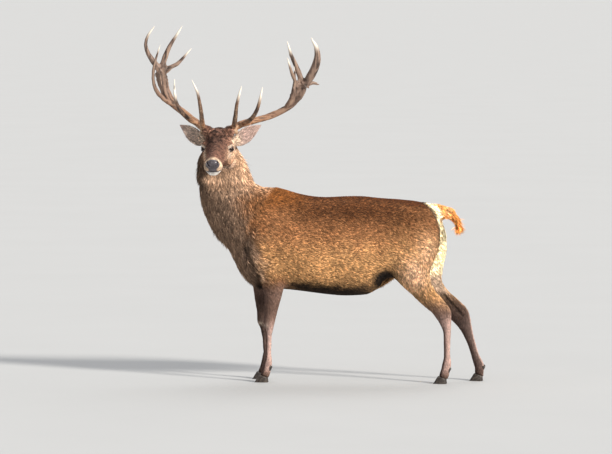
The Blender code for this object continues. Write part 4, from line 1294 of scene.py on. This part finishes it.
# %% [markdown]
# Last come the parts with no hair at all: the nose pad, the lips, the lids and the gland slit. No tuft is
# rooted where this mask is full, and the skin is dark and wet there. The dark band under the nose pad is
# bare lip deepened by a painted shadow of the mouth.

# %% Bare skin
on_pad = step(1.06, 0.98, pad_reach_of(local)) * step(0.215, 0.23, f)
opening_gap = np.linalg.norm(half_head - (0.0, 0.080, 0.0), axis=1)
in_lids = step(EYE_RADIUS + LID + 0.0004, EYE_RADIUS + LID - 0.0008, opening_gap)
lip_height = u - MOUTH_LEVEL - 0.008 * step(0.23, 0.15, f)
mouth_line = np.exp(-(lip_height / 0.0050) ** 4) * step(0.150, 0.180, f)
dark_rim = np.exp(-((lid_edge - 1.08) / 0.19) ** 2) * around
gland = 0.75 * groove(both_sides(local), GLAND_SLIT, 0.0045) * step(0.035, 0.05, np.abs(a))
bare_parts = (on_pad, in_lids, 0.9 * mouth_line * head_share, bare_lip_and_painted_shadow, dark_rim, gland)
masks["bare"] = np.maximum.reduce(bare_parts).clip(0, 1)
print("masks:", ", ".join(masks))

# %% [markdown]
# ## How tufts are made
# Hair could be grown from particles or curves, but those are not solid. Here a tuft is a small closed
# solid with its root a little under the skin. Thousands are needed, so all the tufts of a piece are worked
# out at once as arrays. Roots are strewn over the skin's triangles in proportion to area, and each takes
# its place, lie and markings from the three corners around it. Hairs share a tone with those close by,
# because a real coat falls in small clumps.

# %% Strew roots over the skin
CLUMP = 0.0058
rng = np.random.default_rng(7)
skin.data.calc_loop_triangles()
count = len(skin.data.loop_triangles)
flat = np.empty(count * 3, np.int32)
skin.data.loop_triangles.foreach_get("vertices", flat)
corners = flat.copy().reshape(-1, 3)
skin.data.loop_triangles.foreach_get("loops", flat)
corner_loops = flat.copy().reshape(-1, 3)
flat = np.empty(len(skin.data.loops) * 2, np.float32)
skin.data.uv_layers["OFBake"].uv.foreach_get("vector", flat)
loop_uv = flat.reshape(-1, 2).astype(float)
areas = np.linalg.norm(np.cross(points[corners[:, 1]] - points[corners[:, 0]],
                                points[corners[:, 2]] - points[corners[:, 0]]), axis=1) / 2
mask_names = list(masks)
mask_table = np.stack([masks[name] for name in mask_names], 1)


def clump_tone(roots_at):
    """The same chance number for all roots in one small cell, so that neighbouring hairs share a tone."""
    cell = np.floor(roots_at / CLUMP).astype(np.int64)
    mixed = (cell[:, 0] * 73856093) ^ (cell[:, 1] * 19349663) ^ (cell[:, 2] * 83492791)
    mixed = (mixed ^ (mixed >> 13)) * 1274126177
    return ((mixed & 0xFFFF) / 0xFFFF - 0.5) * 3.4


def roots_on(density, count):
    """Strews roots with this relative density, and returns what each one needs to know."""
    weight = areas * density[corners].mean(1)
    total = np.cumsum(weight)
    spots = (np.arange(count) + rng.random(count)) / count * total[-1]
    chosen = np.searchsorted(total, spots).clip(0, len(areas) - 1)
    p, q = rng.random(count), rng.random(count)
    fold = p + q > 1
    p[fold], q[fold] = 1 - p[fold], 1 - q[fold]
    share = np.stack((1 - p - q, p, q), 1)[:, :, None]
    at = corners[chosen]

    def blend(values):
        return (values[at] * share).sum(1)

    normal = unit(blend(outward))
    return {"place": blend(points), "normal": normal, "lie": laid_flat(blend(lie), normal),
            "masks": blend(mask_table), "shares": blend(shares), "room": blend(room[:, None])[:, 0],
            "uv": (loop_uv[corner_loops[chosen]] * share).sum(1), "local": in_head(blend(points))}


print(count, "triangles of skin, together", round(areas.sum(), 2), "square metres")

# %% [markdown]
# Short hair is a blade of four triangles: two corners at the root, a ridge and a tip. A long lock has ten
# triangles, with a bend half-way. Both are closed, so they hold up as solids, and both are plain tables of
# corners that a function fills in for every root at once.

# %% Blades and locks
UV_PATCH = 0.0015
SINK = 0.0012
BLADE = np.array(((0, 1, 2), (0, 3, 1), (1, 3, 2), (0, 2, 3)))
LOCK = np.array(((0, 1, 2), (1, 0, 3), (1, 3, 4), (2, 1, 4), (2, 4, 5), (0, 2, 5), (0, 5, 3),
                 (4, 3, 6), (5, 4, 6), (3, 5, 6)))
BLADE_PATCH = np.array(((-1, -1), (1, -1), (0, 0), (0, 1))) * UV_PATCH
LOCK_PATCH = np.array(((-1, -1), (1, -1), (0, -0.6), (-1, 0.2), (1, 0.2), (0, 0.4), (0, 1))) * UV_PATCH
BLADE_TIPS = np.array((0.0, 0.0, 0.35, 1.0))
LOCK_TIPS = np.array((0.0, 0.0, 0.1, 0.5, 0.5, 0.6, 1.0))


def mesh_of(name, corner, index, uv):
    """A mesh from arrays of corners, triangles and places on the unwrap."""
    mesh = bpy.data.meshes.new(name)
    mesh.vertices.add(len(corner))
    mesh.vertices.foreach_set("co", corner.astype(np.float32).ravel())
    mesh.loops.add(index.size)
    mesh.loops.foreach_set("vertex_index", index.astype(np.int32).ravel())
    mesh.polygons.add(len(index))
    mesh.polygons.foreach_set("loop_start", np.arange(0, index.size, 3, dtype=np.int32))
    mesh.update(calc_edges=True)
    mesh.shade_smooth()
    mesh.uv_layers.new(name="OFBake").uv.foreach_set("vector", uv.astype(np.float32).ravel())
    return mesh


def blade_corners(foot, side, way, normal, length, width, height, thick, bend):
    """The four corners of every blade: two at the root, the ridge and the tip."""
    ridge = foot + way * length * 0.25 + normal * (SINK + 0.35 * height + thick * width)
    tip = foot + way * length + normal * (SINK + height) + side * bend
    return [foot + side * width / 2, foot - side * width / 2, ridge, tip]


def lock_corners(foot, side, way, normal, length, width, height, thick, bend, droop):
    """The seven corners of every lock: three at the root, three half-way and the tip."""
    half_way = foot + way * length * 0.45 + normal * (SINK + height * 0.8) + side * bend * 0.3
    tip = foot + way * length * 0.97 + normal * (SINK + height) + side * bend + droop * length
    half_way = half_way + droop * length * 0.3
    return [foot + side * width * 0.35, foot - side * width * 0.35, foot + normal * (SINK + thick * width),
            half_way + side * width / 2, half_way - side * width / 2, half_way + normal * thick * width, tip]


print("a blade has", len(BLADE), "triangles and a lock", len(LOCK))

# %% [markdown]
# A piece of coat is one mesh of all its tufts. Every tuft is turned a little off the lie, and gets its own
# length, width, height and bend by chance. It gets a small patch around its root's place on the unwrap,
# and carries its tone, the way up to its tip and its share of every marking.

# %% Tufts from roots
CLUMP_SHARE, OWN_SHARE, MASK_SCATTER = 0.80, 0.55, 0.55


def tuft_mesh(name, roots, length, width, height, thick=0.35, wander=0.16, sway=0.10, droop=None):
    """One mesh of all the tufts on these roots: locks where a droop is given, blades where not."""
    count = len(roots["place"])
    turn = (wander * rng.normal(0, 1, count).clip(-2, 2))[:, None]
    normal = roots["normal"]
    way = roots["lie"] * np.cos(turn) + np.cross(normal, roots["lie"]) * np.sin(turn)
    side = np.cross(normal, way)
    length = (length * rng.uniform(0.75, 1.2, count))[:, None]
    width = (width * rng.uniform(0.7, 1.3, count))[:, None]
    height = (height * rng.uniform(0.45, 1.0, count))[:, None]
    bend = (sway * rng.normal(0, 1, count).clip(-2, 2))[:, None] * length
    foot = roots["place"] - normal * SINK
    shape = (foot, side, way, normal, length, width, height, thick, bend)
    if droop is None:
        tuft = blade_corners(*shape)
        faces, patch, tips = BLADE, BLADE_PATCH, BLADE_TIPS
    else:
        tuft = lock_corners(*shape, droop)
        faces, patch, tips = LOCK, LOCK_PATCH, LOCK_TIPS
    per = len(tuft)
    index = (faces[None] + (np.arange(count) * per)[:, None, None]).reshape(-1, 3)
    uv = (roots["uv"][:, None] + patch[None]).reshape(-1, 2)[index.ravel()]
    mesh = mesh_of(name, np.stack(tuft, 1).reshape(-1, 3), index, uv)
    tone = (CLUMP_SHARE * clump_tone(roots["place"]) + OWN_SHARE * rng.normal(0, 1, count)).clip(-2.0, 2.4)
    write(mesh, "tone", np.repeat(tone, per))
    write(mesh, "tip", np.tile(tips, count))
    shift = rng.normal(0, 1, (count, 1)) * MASK_SCATTER * roots["masks"] * (1 - roots["masks"])
    marked = (roots["masks"] + shift).clip(0, 1)
    for i, mask in enumerate(mask_names):
        write(mesh, mask, np.repeat(marked[:, i], per))
    piece = new_piece(name, mesh)
    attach(piece, "root")
    print(name, count, "tufts", len(index), "triangles", round(time.time() - started, 1), "s")
    return piece


for name in mask_names:
    write(skin.data, name, masks[name])
write(skin.data, "tone", np.zeros(len(points)))
write(skin.data, "tip", np.full(len(points), 0.25))
print("every tuft carries", len(mask_names) + 2, "numbers")

# %% [markdown]
# ## The coat
# Short hair covers the trunk and thighs in blades two or three centimetres long, and gets shorter and
# finer down the legs and over the face. The sizes are named for each region and blended where regions
# meet, so that there is no border in the coat either. No blade stands higher than the room under the
# packed outline.

# %% Sizes of the short hair
SHORT = {"trunk": (0.021, 0.0036, 0.0062), "neck": (0.034, 0.0042, 0.011), "head": (0.0105, 0.0017, 0.0020),
         "tail": (0.022, 0.0034, 0.0080), "ear": (0.0042, 0.0011, 0.0005), "thigh": (0.023, 0.0032, 0.0054),
         "forearm": (0.016, 0.0026, 0.0036), "cannon": (0.012, 0.0021, 0.0022)}


def short_sizes(roots):
    """Length, width and height of a blade at each root, blended between the regions."""
    sizes = np.array([SHORT[kind_of(name)] for name in REGIONS])
    length, width, height = (roots["shares"] @ sizes).T
    f, a, u = roots["local"].T
    near = step(0.3, 0.15, np.abs(a)) * step(-0.15, -0.05, f) * step(-0.3, -0.2, u)
    fine = 1 - near * (0.35 * step(-0.02, 0.10, f) + 0.30 * step(0.17, 0.23, f))
    return length * fine, width * fine, np.minimum(height * fine, roots["room"] * 1.1 + 0.0004)


hair_lengths = [round(size[0] * 1000, 1) for size in SHORT.values()]
print("short hair from", min(hair_lengths), "to", max(hair_lengths), "mm long")

# %% [markdown]
# A piece is kept under 200,000 triangles, so the coat is laid in plots: the trunk in quarters, then the
# legs, the neck, the head and the ears. Each vertex belongs to the plot of its nearest region, and the
# counts give each plot about as many blades as its skin needs to be hidden.

# %% Short coat in plots
TRUNK_BLADES, LEG_BLADES, NECK_BLADES, HEAD_BLADES, EAR_BLADES = 36500, 36000, 12000, 40000, 20000
REAR_FROM = 0.22
owned = table.argmax(1)


def owned_by(*names):
    """1 at every vertex that is nearest to one of these regions, else 0."""
    return np.isin(owned, [REGIONS.index(name) for name in names]) * 1.0


hairy = 1.0 - masks["bare"]
is_trunk = owned_by("trunk", *THIGHS)
is_tail = owned_by("tail")
left = (y < MIDLINE) * 1.0
rear = (x > REAR_FROM) * 1.0
PLOTS = [("coat_left_front", is_trunk * left * (1 - rear), TRUNK_BLADES),
         ("coat_left_rear", is_trunk * left * rear, TRUNK_BLADES),
         ("coat_right_front", is_trunk * (1 - left) * (1 - rear), TRUNK_BLADES),
         ("coat_right_rear", is_trunk * (1 - left) * rear, TRUNK_BLADES),
         ("coat_legs", owned_by(*FOREARMS, *CANNONS) * (1.0 + 0.6 * cannon_share), LEG_BLADES),
         ("coat_neck", owned_by("neck"), NECK_BLADES),
         ("coat_head", owned_by("head") * (1 + 0.8 * step(0.0, 0.1, f)), HEAD_BLADES),
         ("coat_ears", owned_by(*EARS), EAR_BLADES)]
coat = {}
for name, where, count in PLOTS:
    roots = roots_on(where * hairy, count)
    length, width, height = short_sizes(roots)
    coat[name] = tuft_mesh(name, roots, length, width, height)

# %% [markdown]
# Over the short hair of the neck hang the long locks of the mane. The tail, the rump, the crown between
# the antlers and the openings of the ears have locks of their own. A lock droops a little with its weight,
# and wanders more than a blade does, which gives the shaggy look.

# %% Locks of long hair
DOWN = np.array((0.0, 0.0, -1.0))
MANE_LOCKS, TAIL_LOCKS, RUMP_LOCKS, CROWN_LOCKS, EAR_LOCKS = 13500, 6500, 6000, 4000, 4200


def mane_height(roots):
    """The hanging locks fill the depth of the mane."""
    return np.minimum(0.003 + 0.7 * roots["room"], 0.015)


def mane_length(roots):
    """Long and shaggy low on the throat, shorter towards the shoulder."""
    shag = 0.5 + 0.5 * ripple(roots["place"], 0.16, 21)
    return 0.030 + (0.020 + 0.020 * shag) * roots["masks"][:, mask_names.index("mane")]


def tail_length(roots):
    """The tail's hair gets longer towards its tip."""
    return 0.038 + 0.022 * step(tail_high.x - 0.08, tail_high.x - 0.02, roots["place"][:, 0])


def tail_height(roots):
    """The tail's hair closes to a point, so it stands out less and less."""
    return 0.012 - 0.009 * step(tail_high.x - 0.12, tail_high.x - 0.03, roots["place"][:, 0])


def locks(name, where, count, length, width, height, droop, **settings):
    """A piece of long locks. Length and height may be functions of the roots."""
    roots = roots_on(where, count)
    length = length(roots) if callable(length) else np.full(count, length)
    height = height(roots) if callable(height) else np.full(count, height)
    coat[name] = tuft_mesh(name, roots, length, width, height, droop=DOWN * droop, **settings)


hangs = step(0.3, 0.7, neck_share + 0.6 * masks["mane"] * trunk_share) * (0.25 + 0.75 * masks["mane"]) * hairy
for name, half in (("coat_mane_left", left), ("coat_mane_right", 1 - left)):
    locks(name, hangs * half, MANE_LOCKS, mane_length, 0.0031, mane_height, 0.14, thick=0.4, wander=0.24,
          sway=0.16)
locks("coat_tail", is_tail * 1.0, TAIL_LOCKS, tail_length, 0.0034, tail_height, 0.06, wander=0.2, sway=0.12)
on_rump = masks["rump"] * (1 - is_tail) * step(0.66, 0.74, z)
locks("coat_rump", on_rump, RUMP_LOCKS, 0.036, 0.0040, 0.013, 0.05, wander=0.2, sway=0.12)
crown = head_share * step(-0.005, -0.04, f) * step(0.040, 0.060, u) * step(0.15, 0.12, np.abs(a))
locks("coat_crown", crown, CROWN_LOCKS, 0.024, 0.0028, 0.007, 0.02, wander=0.35, sway=0.2)
ear_tuft = masks["ear_foot"] + 0.5 * masks["ear_inside"] * step(0.235, 0.160, np.abs(a))
locks("coat_ear_locks", ear_tuft, EAR_LOCKS, 0.021, 0.0013, 0.0035, 0.03, wander=0.20, sway=0.15)
coat_triangles = sum(len(piece.data.polygons) for piece in coat.values())
print("coat of", coat_triangles, "triangles in", len(coat), "pieces")

# %% [markdown]
# ## Finishes
# A shader expression is easier to read than a web of boxes. One small class wraps a socket, so that
# 1 - mask or a * b adds the right Math node, and one method makes any other node.

# %% Sockets as numbers
class Wire:
    """A socket in a material that can be added, multiplied and raised to a power like a number."""

    def __init__(self, tree, socket):
        self.tree = tree
        self.socket = socket

    def node(self, kind, settings, **inputs):
        """Any other node: its settings first, then the values or links of its sockets."""
        made = self.tree.nodes.new(kind)
        for name, value in settings.items():
            setattr(made, name, value)
        for name, value in inputs.items():
            self.plug(made.inputs[name.replace("_", " ")], value)
        return made

    def plug(self, socket, value):
        if isinstance(value, Wire):
            self.tree.links.new(value.socket, socket)
        else:
            socket.default_value = value

    def math(self, operation, *values):
        made = self.tree.nodes.new("ShaderNodeMath")
        made.operation = operation
        for socket, value in zip(made.inputs, values):
            self.plug(socket, value)
        return Wire(self.tree, made.outputs[0])

    def __add__(self, other):
        return self.math("ADD", self, other)

    def __radd__(self, other):
        return self.math("ADD", other, self)

    def __sub__(self, other):
        return self.math("SUBTRACT", self, other)

    def __rsub__(self, other):
        return self.math("SUBTRACT", other, self)

    def __mul__(self, other):
        return self.math("MULTIPLY", self, other)

    def __rmul__(self, other):
        return self.math("MULTIPLY", other, self)

    def __truediv__(self, other):
        return self.math("DIVIDE", self, other)

    def __pow__(self, other):
        return self.math("POWER", self, other)

    def clamp(self):
        return self.math("MINIMUM", self.math("MAXIMUM", self, 0.0), 1.0)

    def slope(self, low, high):
        """0 below low, 1 above high, eased between."""
        eased = {"interpolation_type": "SMOOTHSTEP"}
        made = self.node("ShaderNodeMapRange", eased, From_Min=low, From_Max=high)
        self.plug(made.inputs["Value"], self)
        return Wire(self.tree, made.outputs["Result"])

# %% [markdown]
# A second class holds a whole finish: one Principled surface, its patterns and its bump. Every pattern is
# read on Object coordinates or from the numbers stored with the mesh, so nothing slides when a piece is
# moved or baked.

# %% A finish
class Finish:
    """A material with a Principled surface, and the few nodes that patterns are made of."""

    def __init__(self, name, roughness=0.5, **sockets):
        self.material = bpy.data.materials.new(name)
        self.material.use_nodes = True
        self.tree = self.material.node_tree
        self.surface = self.tree.nodes["Principled BSDF"]
        self.surface.inputs["Roughness"].default_value = roughness
        for socket, value in sockets.items():
            self.surface.inputs[socket.replace("_", " ")].default_value = value
        self.place = Wire(self.tree, self.tree.nodes.new("ShaderNodeTexCoord").outputs["Object"])

    def set(self, socket, value):
        self.place.plug(self.surface.inputs[socket], value)
        return self

    def attribute(self, name):
        made = self.place.node("ShaderNodeAttribute", {"attribute_name": name})
        return Wire(self.tree, made.outputs["Fac"])

    def noise(self, scale, detail=3.0, roughness=0.55, at=None):
        made = self.place.node("ShaderNodeTexNoise", {}, Vector=at or self.place, Scale=scale, Detail=detail,
                               Roughness=roughness)
        return Wire(self.tree, made.outputs["Fac"])

    def stretched(self, x, y, z):
        made = self.place.node("ShaderNodeMapping", {}, Vector=self.place, Scale=(x, y, z))
        return Wire(self.tree, made.outputs["Vector"])

    def cells(self, scale):
        made = self.place.node("ShaderNodeTexVoronoi", {"feature": "F1"}, Vector=self.place, Scale=scale)
        return Wire(self.tree, made.outputs["Distance"])

    def mix(self, first, second, share):
        """The first colour where the share is 0, the second where it is 1."""
        made = self.place.node("ShaderNodeMix", {"data_type": "RGBA"})
        for socket, value in ((made.inputs[0], share), (made.inputs[6], first), (made.inputs[7], second)):
            self.place.plug(socket, (*value, 1.0) if isinstance(value, tuple) else value)
        return Wire(self.tree, made.outputs[2])

    def shade(self, colour, amount):
        """A colour made darker or lighter by a number around one."""
        made = self.place.node("ShaderNodeVectorMath", {"operation": "SCALE"})
        self.place.plug(made.inputs[0], colour)
        self.place.plug(made.inputs["Scale"], amount)
        return Wire(self.tree, made.outputs[0])

    def bump(self, height, strength, distance):
        made = self.place.node("ShaderNodeBump", {}, Strength=strength, Distance=distance, Height=height)
        return self.set("Normal", Wire(self.tree, made.outputs["Normal"]))

# %% [markdown]
# The coat's colour starts as rust and is painted over, one marking after another, each where its own mask
# is full. A slow noise breaks up the borders, a finer one mottles the face, and the finest gives every
# hair a grain. Skin and hair share this one expression, so the skin never shows through in another colour.

# %% Colours of the coat
RUST, PALE = (0.290, 0.132, 0.055), (0.80, 0.66, 0.53)
# Among these, the lighter ham and stifle, the lit side of the upper neck and the paler inside of the right
# ear are painted light; the throat's shadow and the inner side of the legs are painted shade; the gold flank
# is partly painted light, and the dark back and belly are partly painted shade.
MARKINGS = [("gold_and_painted_light", (0.480, 0.268, 0.116)), ("thigh_painted_light", (0.98, 0.66, 0.43)),
            ("red", (0.170, 0.060, 0.014)), ("back", (0.062, 0.019, 0.005)),
            ("mane", (0.240, 0.154, 0.103)), ("neck_painted_light", (0.54, 0.340, 0.215)),
            ("neck_painted_shadow", (0.085, 0.052, 0.034)), ("inside", (0.50, 0.36, 0.26)),
            ("leg", (0.27, 0.165, 0.125)), ("cannon", (0.63, 0.435, 0.375)),
            ("shin", (0.13, 0.078, 0.062)), ("inner", (0.090, 0.054, 0.042)),
            ("belly", (0.022, 0.013, 0.008)), ("dark", (0.045, 0.024, 0.014)),
            ("rump", (0.97, 0.84, 0.56)), ("tail", (0.72, 0.32, 0.09)),
            ("face", (0.20, 0.098, 0.066)), ("cheek", (0.62, 0.400, 0.262)),
            ("brow_dark", (0.115, 0.058, 0.040)), ("throat", (0.46, 0.34, 0.26)), ("pale", PALE),
            ("ring", (0.60, 0.43, 0.30)), ("chin", (0.98, 0.93, 0.87)),
            ("ear_inside", (0.50, 0.37, 0.33)), ("right_ear_painted_light", PALE), ("ear_back", (0.110, 0.072, 0.052)),
            ("ear_foot", (0.70, 0.54, 0.41)), ("bare", (0.068, 0.056, 0.064))]
BORDER_BREAK, BLOTCH_DEPTH, GRAIN_DEPTH = 0.35, 0.45, 0.5


def coat_colour(finish):
    """The one colour expression that skin and coat share."""
    blotch = finish.noise(9.0, 4.0)
    grain = finish.noise(260.0, 2.0)
    colour = RUST
    for mask, shade in MARKINGS:
        share = finish.attribute(mask)
        border = (blotch - 0.5) * BORDER_BREAK * share * (1 - share) * 4
        colour = finish.mix(colour, shade, (share + border).clamp())
    mottle = finish.noise(52.0, 3.0).slope(0.32, 0.68) - 0.5
    mottled = 0.12 + finish.attribute("face") * 0.55 + finish.attribute("brow_dark") * 0.85
    amount = 1 + (blotch - 0.5) * BLOTCH_DEPTH + (grain - 0.5) * GRAIN_DEPTH + mottle * mottled
    return finish.shade(colour, amount)


print(len(MARKINGS), "markings painted over the rust")

# %% [markdown]
# Hair is darker at its root and lighter at its tip, and no two tufts are quite the same. The tone stored
# with each tuft goes through an exponential, so that it multiplies the colour: twice as light is as likely
# as half as light. Long locks get the wider range, the legs and the insides of the ears the narrower.

# %% Finishes of the hair
def hair_finish(name, tone_depth, tip_light):
    """Hair in the coat's colour, varied by this much in tone and from root to tip."""
    finish = Finish(name, roughness=0.66, Specular_IOR_Level=0.15, Sheen_Weight=0.02, Sheen_Roughness=0.5)
    tone = finish.attribute("tone")
    tip = finish.attribute("tip")
    depth = tone_depth * (1 - 0.5 * finish.attribute("leg") - 0.35 * finish.attribute("ear_inside"))
    amount = (tone * depth).math("EXPONENT", tone * depth) * (1 - tip_light * 0.5 + tip * tip_light)
    finish.set("Base Color", finish.shade(coat_colour(finish), amount))
    finish.bump(finish.noise(900.0, 2.0), 0.25, 0.001)
    return finish.material


hair = hair_finish("hair", 0.58, 0.70)
long_hair = hair_finish("long_hair", 0.62, 1.00)
LONG_COATS = ("coat_mane_left", "coat_mane_right", "coat_tail", "coat_rump", "coat_crown", "coat_ear_locks")
for name, piece in coat.items():
    piece.data.materials.append(long_hair if name in LONG_COATS else hair)

# %% [markdown]
# The skin is seen between the hairs and on the bare parts. Where it is bare it is dark, smooth and wet,
# with the small pebbles of a nose pad. Under the hair it is a little darker than the coat and scored with
# fine lines.

# %% The skin's finish
hide = Finish("hide", Specular_IOR_Level=0.30, Coat_Roughness=0.20)
bare = hide.attribute("bare")
hide.set("Coat Weight", bare * 0.70)
hide.set("Base Color", hide.shade(coat_colour(hide), 0.86))
hide.set("Roughness", 0.72 - 0.36 * bare)
pebbles = hide.cells(520.0).slope(0.0, 0.9)
fur_lines = hide.noise(420.0, 3.0, 0.6, hide.stretched(0.35, 1.0, 1.0))
hide.bump(pebbles * bare + fur_lines * (1 - bare), 0.5, 0.0012)
skin.data.materials.append(hide.material)
print("hide of", len(hide.tree.nodes), "nodes")

# %% [markdown]
# A deer's iris is dark brown and its pupil a level bar, so at a distance the whole eye reads as almost
# black with one bright spark. The pattern is drawn from two numbers stored on the ball, how far along and
# how far over the gaze each place lies. The lid's edge is darker still and moist.

# %% Eyes
IRIS_DARK, IRIS_LIGHT, ROUND_IRIS = (0.009, 0.004, 0.003), (0.034, 0.014, 0.006), (0.012, 0.007, 0.005)
PUPIL, PUPIL_LENGTH, PUPIL_HEIGHT = (0.002, 0.0025, 0.004), 0.40, 0.19
eye_finish = Finish("eye", roughness=0.22, Coat_Weight=0.25, Coat_Roughness=0.03, Specular_IOR_Level=0.10)
along, over = eye_finish.attribute("along"), eye_finish.attribute("over")
from_axis = (along * along + over * over) ** 0.5
pupil = ((along / PUPIL_LENGTH) ** 2 + (over / PUPIL_HEIGHT) ** 2).slope(1.10, 0.85)
rays = eye_finish.noise(9.0, 4.0, 0.6) - 0.5
iris = eye_finish.mix(IRIS_LIGHT, IRIS_DARK, (from_axis.slope(0.30, 0.68) + rays * 0.8).clamp())
colour = eye_finish.mix(iris, ROUND_IRIS, from_axis.slope(0.66, 0.72))
eye_finish.set("Base Color", eye_finish.mix(colour, PUPIL, pupil))
for ball in eyeballs.values():
    ball.data.materials.append(eye_finish.material)

lid_finish = Finish("lid_edge", Specular_IOR_Level=0.5)
wet = lid_finish.noise(300.0, 3.0)
lid_colour = lid_finish.mix((0.012, 0.008, 0.008), (0.040, 0.026, 0.024), wet.slope(0.4, 0.7))
lid_finish.set("Base Color", lid_colour)
lid_finish.set("Roughness", 0.18 + wet * 0.25)
for rim in lid_edges:
    rim.data.materials.append(lid_finish.material)
print("eyes and lid edges finished")

# %% [markdown]
# Antler bone takes its colour from bark and earth: brown over the beam, redder low down, almost black in
# the grooves, dark on the lower tines, where painted shade darkens them further, pale on the pearls, and
# rubbed to ivory at the points. The numbers stored while carving say which is which.

# %% Antler bone
BONE, LOW_BONE, TINE_BONE_AND_PAINTED_SHADE = (0.225, 0.146, 0.110), (0.290, 0.122, 0.050), (0.060, 0.033, 0.022)
GROOVE_BONE, PEARL_BONE, IVORY = (0.045, 0.027, 0.019), (0.440, 0.310, 0.200), (0.800, 0.720, 0.610)
bone = Finish("antler_bone", Specular_IOR_Level=0.45)
polish, carved, pearl = bone.attribute("polish"), bone.attribute("groove"), bone.attribute("pearl")
low, tine = bone.attribute("low"), bone.attribute("tine")
stain = bone.noise(30.0, 5.0, 0.65)
in_groove = (carved * 0.90 + (stain - 0.44) * 1.9).clamp() * (1 - polish)
on_pearl = (pearl * 0.60 + (0 - carved) * 0.18).clamp() * (1 - polish)
colour = bone.mix(BONE, LOW_BONE, low * 0.90)
# The near-black of the lower tines is partly the bone's own colour and partly painted shade.
colour = bone.mix(colour, TINE_BONE_AND_PAINTED_SHADE, tine * low * 0.85)
colour = bone.mix(colour, GROOVE_BONE, in_groove)
colour = bone.mix(colour, PEARL_BONE, on_pearl)
colour = bone.mix(colour, IVORY, polish)
bone.set("Base Color", bone.shade(colour, 0.85 + bone.noise(300.0, 3.0) * 0.30))
bone.set("Roughness", 0.62 - 0.30 * polish)
bone.bump(bone.noise(420.0, 4.0, 0.65) * (1 - polish * 0.8), 0.45, 0.0012)
for piece in antlers:
    piece.data.materials.append(bone.material)
print("bone of", len(bone.tree.nodes), "nodes")

# %% [markdown]
# Hoof horn is close to black, with lighter scuffs and a grain that runs round the wall with the rings of
# growth. It is smoother than bone, and duller where it is scuffed.

# %% Hoof horn
horn = Finish("hoof_horn", Specular_IOR_Level=0.45)
scuff = horn.noise(70.0, 4.0, 0.6)
wear = horn.noise(240.0, 3.0, 0.6, horn.stretched(1.0, 1.0, 0.25))
colour = horn.mix((0.030, 0.022, 0.018), (0.105, 0.080, 0.062), scuff.slope(0.45, 0.72))
horn.set("Base Color", horn.shade(colour, 0.75 + wear * 0.5 + horn.attribute("ring") * 0.12))
horn.set("Roughness", 0.36 + 0.30 * scuff)
horn.bump(wear, 0.4, 0.0008)
for piece in claws:
    piece.data.materials.append(horn.material)
print("horn on", len(claws), "claws")

# %% [markdown]
# ## Floor and light
# The stag stands on a plain pale floor that is wide enough to have no visible edge. A warm key light falls
# from the right and fairly low, as late sun does, so that it rakes over the coat and shows its lie. A
# weak, wide light from behind lifts the outline, and an even pale sky fills the shadows.

# %% Floor and light
FLOOR_SIZE, SKY_STRENGTH = 2400, 0.60
bpy.ops.mesh.primitive_plane_add(size=FLOOR_SIZE)
floor = bpy.context.object
floor.name = "floor"
floor_finish = Finish("floor_finish", roughness=0.85)
patches = floor_finish.noise(0.8, 3.0)
floor_finish.set("Base Color", floor_finish.mix((0.49, 0.49, 0.485), (0.52, 0.52, 0.515), patches))
floor.data.materials.append(floor_finish.material)
floor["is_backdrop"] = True
world = bpy.data.worlds.new("studio")
world.use_nodes = True
sky = world.node_tree.nodes["Background"]
sky.inputs["Color"].default_value = (0.86, 0.88, 0.92, 1.0)
sky.inputs["Strength"].default_value = SKY_STRENGTH
bpy.context.scene.world = world


def soft_sun(name, azimuth, elevation, strength, softness, colour=(1.0, 1.0, 1.0)):
    """An even, soft-edged light from this many degrees to the right of the camera and above the floor."""
    data = bpy.data.lights.new(name, "SUN")
    data.energy = strength
    data.angle = math.radians(softness)
    data.color = colour
    light = bpy.data.objects.new(name, data)
    way = looking_from(VIEW_AZIMUTH + math.radians(azimuth), math.radians(elevation))
    light.location = way * 8
    light.rotation_mode = "QUATERNION"
    light.rotation_quaternion = way.to_track_quat("Z", "Y")
    bpy.context.scene.collection.objects.link(light)


soft_sun("key", 46, 24, 5.0, 9, (1.0, 0.965, 0.90))
soft_sun("rim", 165, 50, 0.9, 40)
bpy.context.scene.view_settings.view_transform = "Standard"
print("floor", FLOOR_SIZE, "m wide, two soft lights and a sky of", SKY_STRENGTH)

# %% [markdown]
# ## Sizes
# The box of the imported model is measured right after it is loaded, and the box of everything visible at
# the end, and both are printed. The looks may not change the size of the animal, so the second box has to
# stay within the first, but for a few millimetres.

# %% Sizes and finish
low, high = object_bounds()
print("cad", [round(v, 3) for v in (*cad_low, *cad_high)], "visual", [round(v, 3) for v in (*low, *high)])
print("made in", round(time.time() - started, 1), "s")
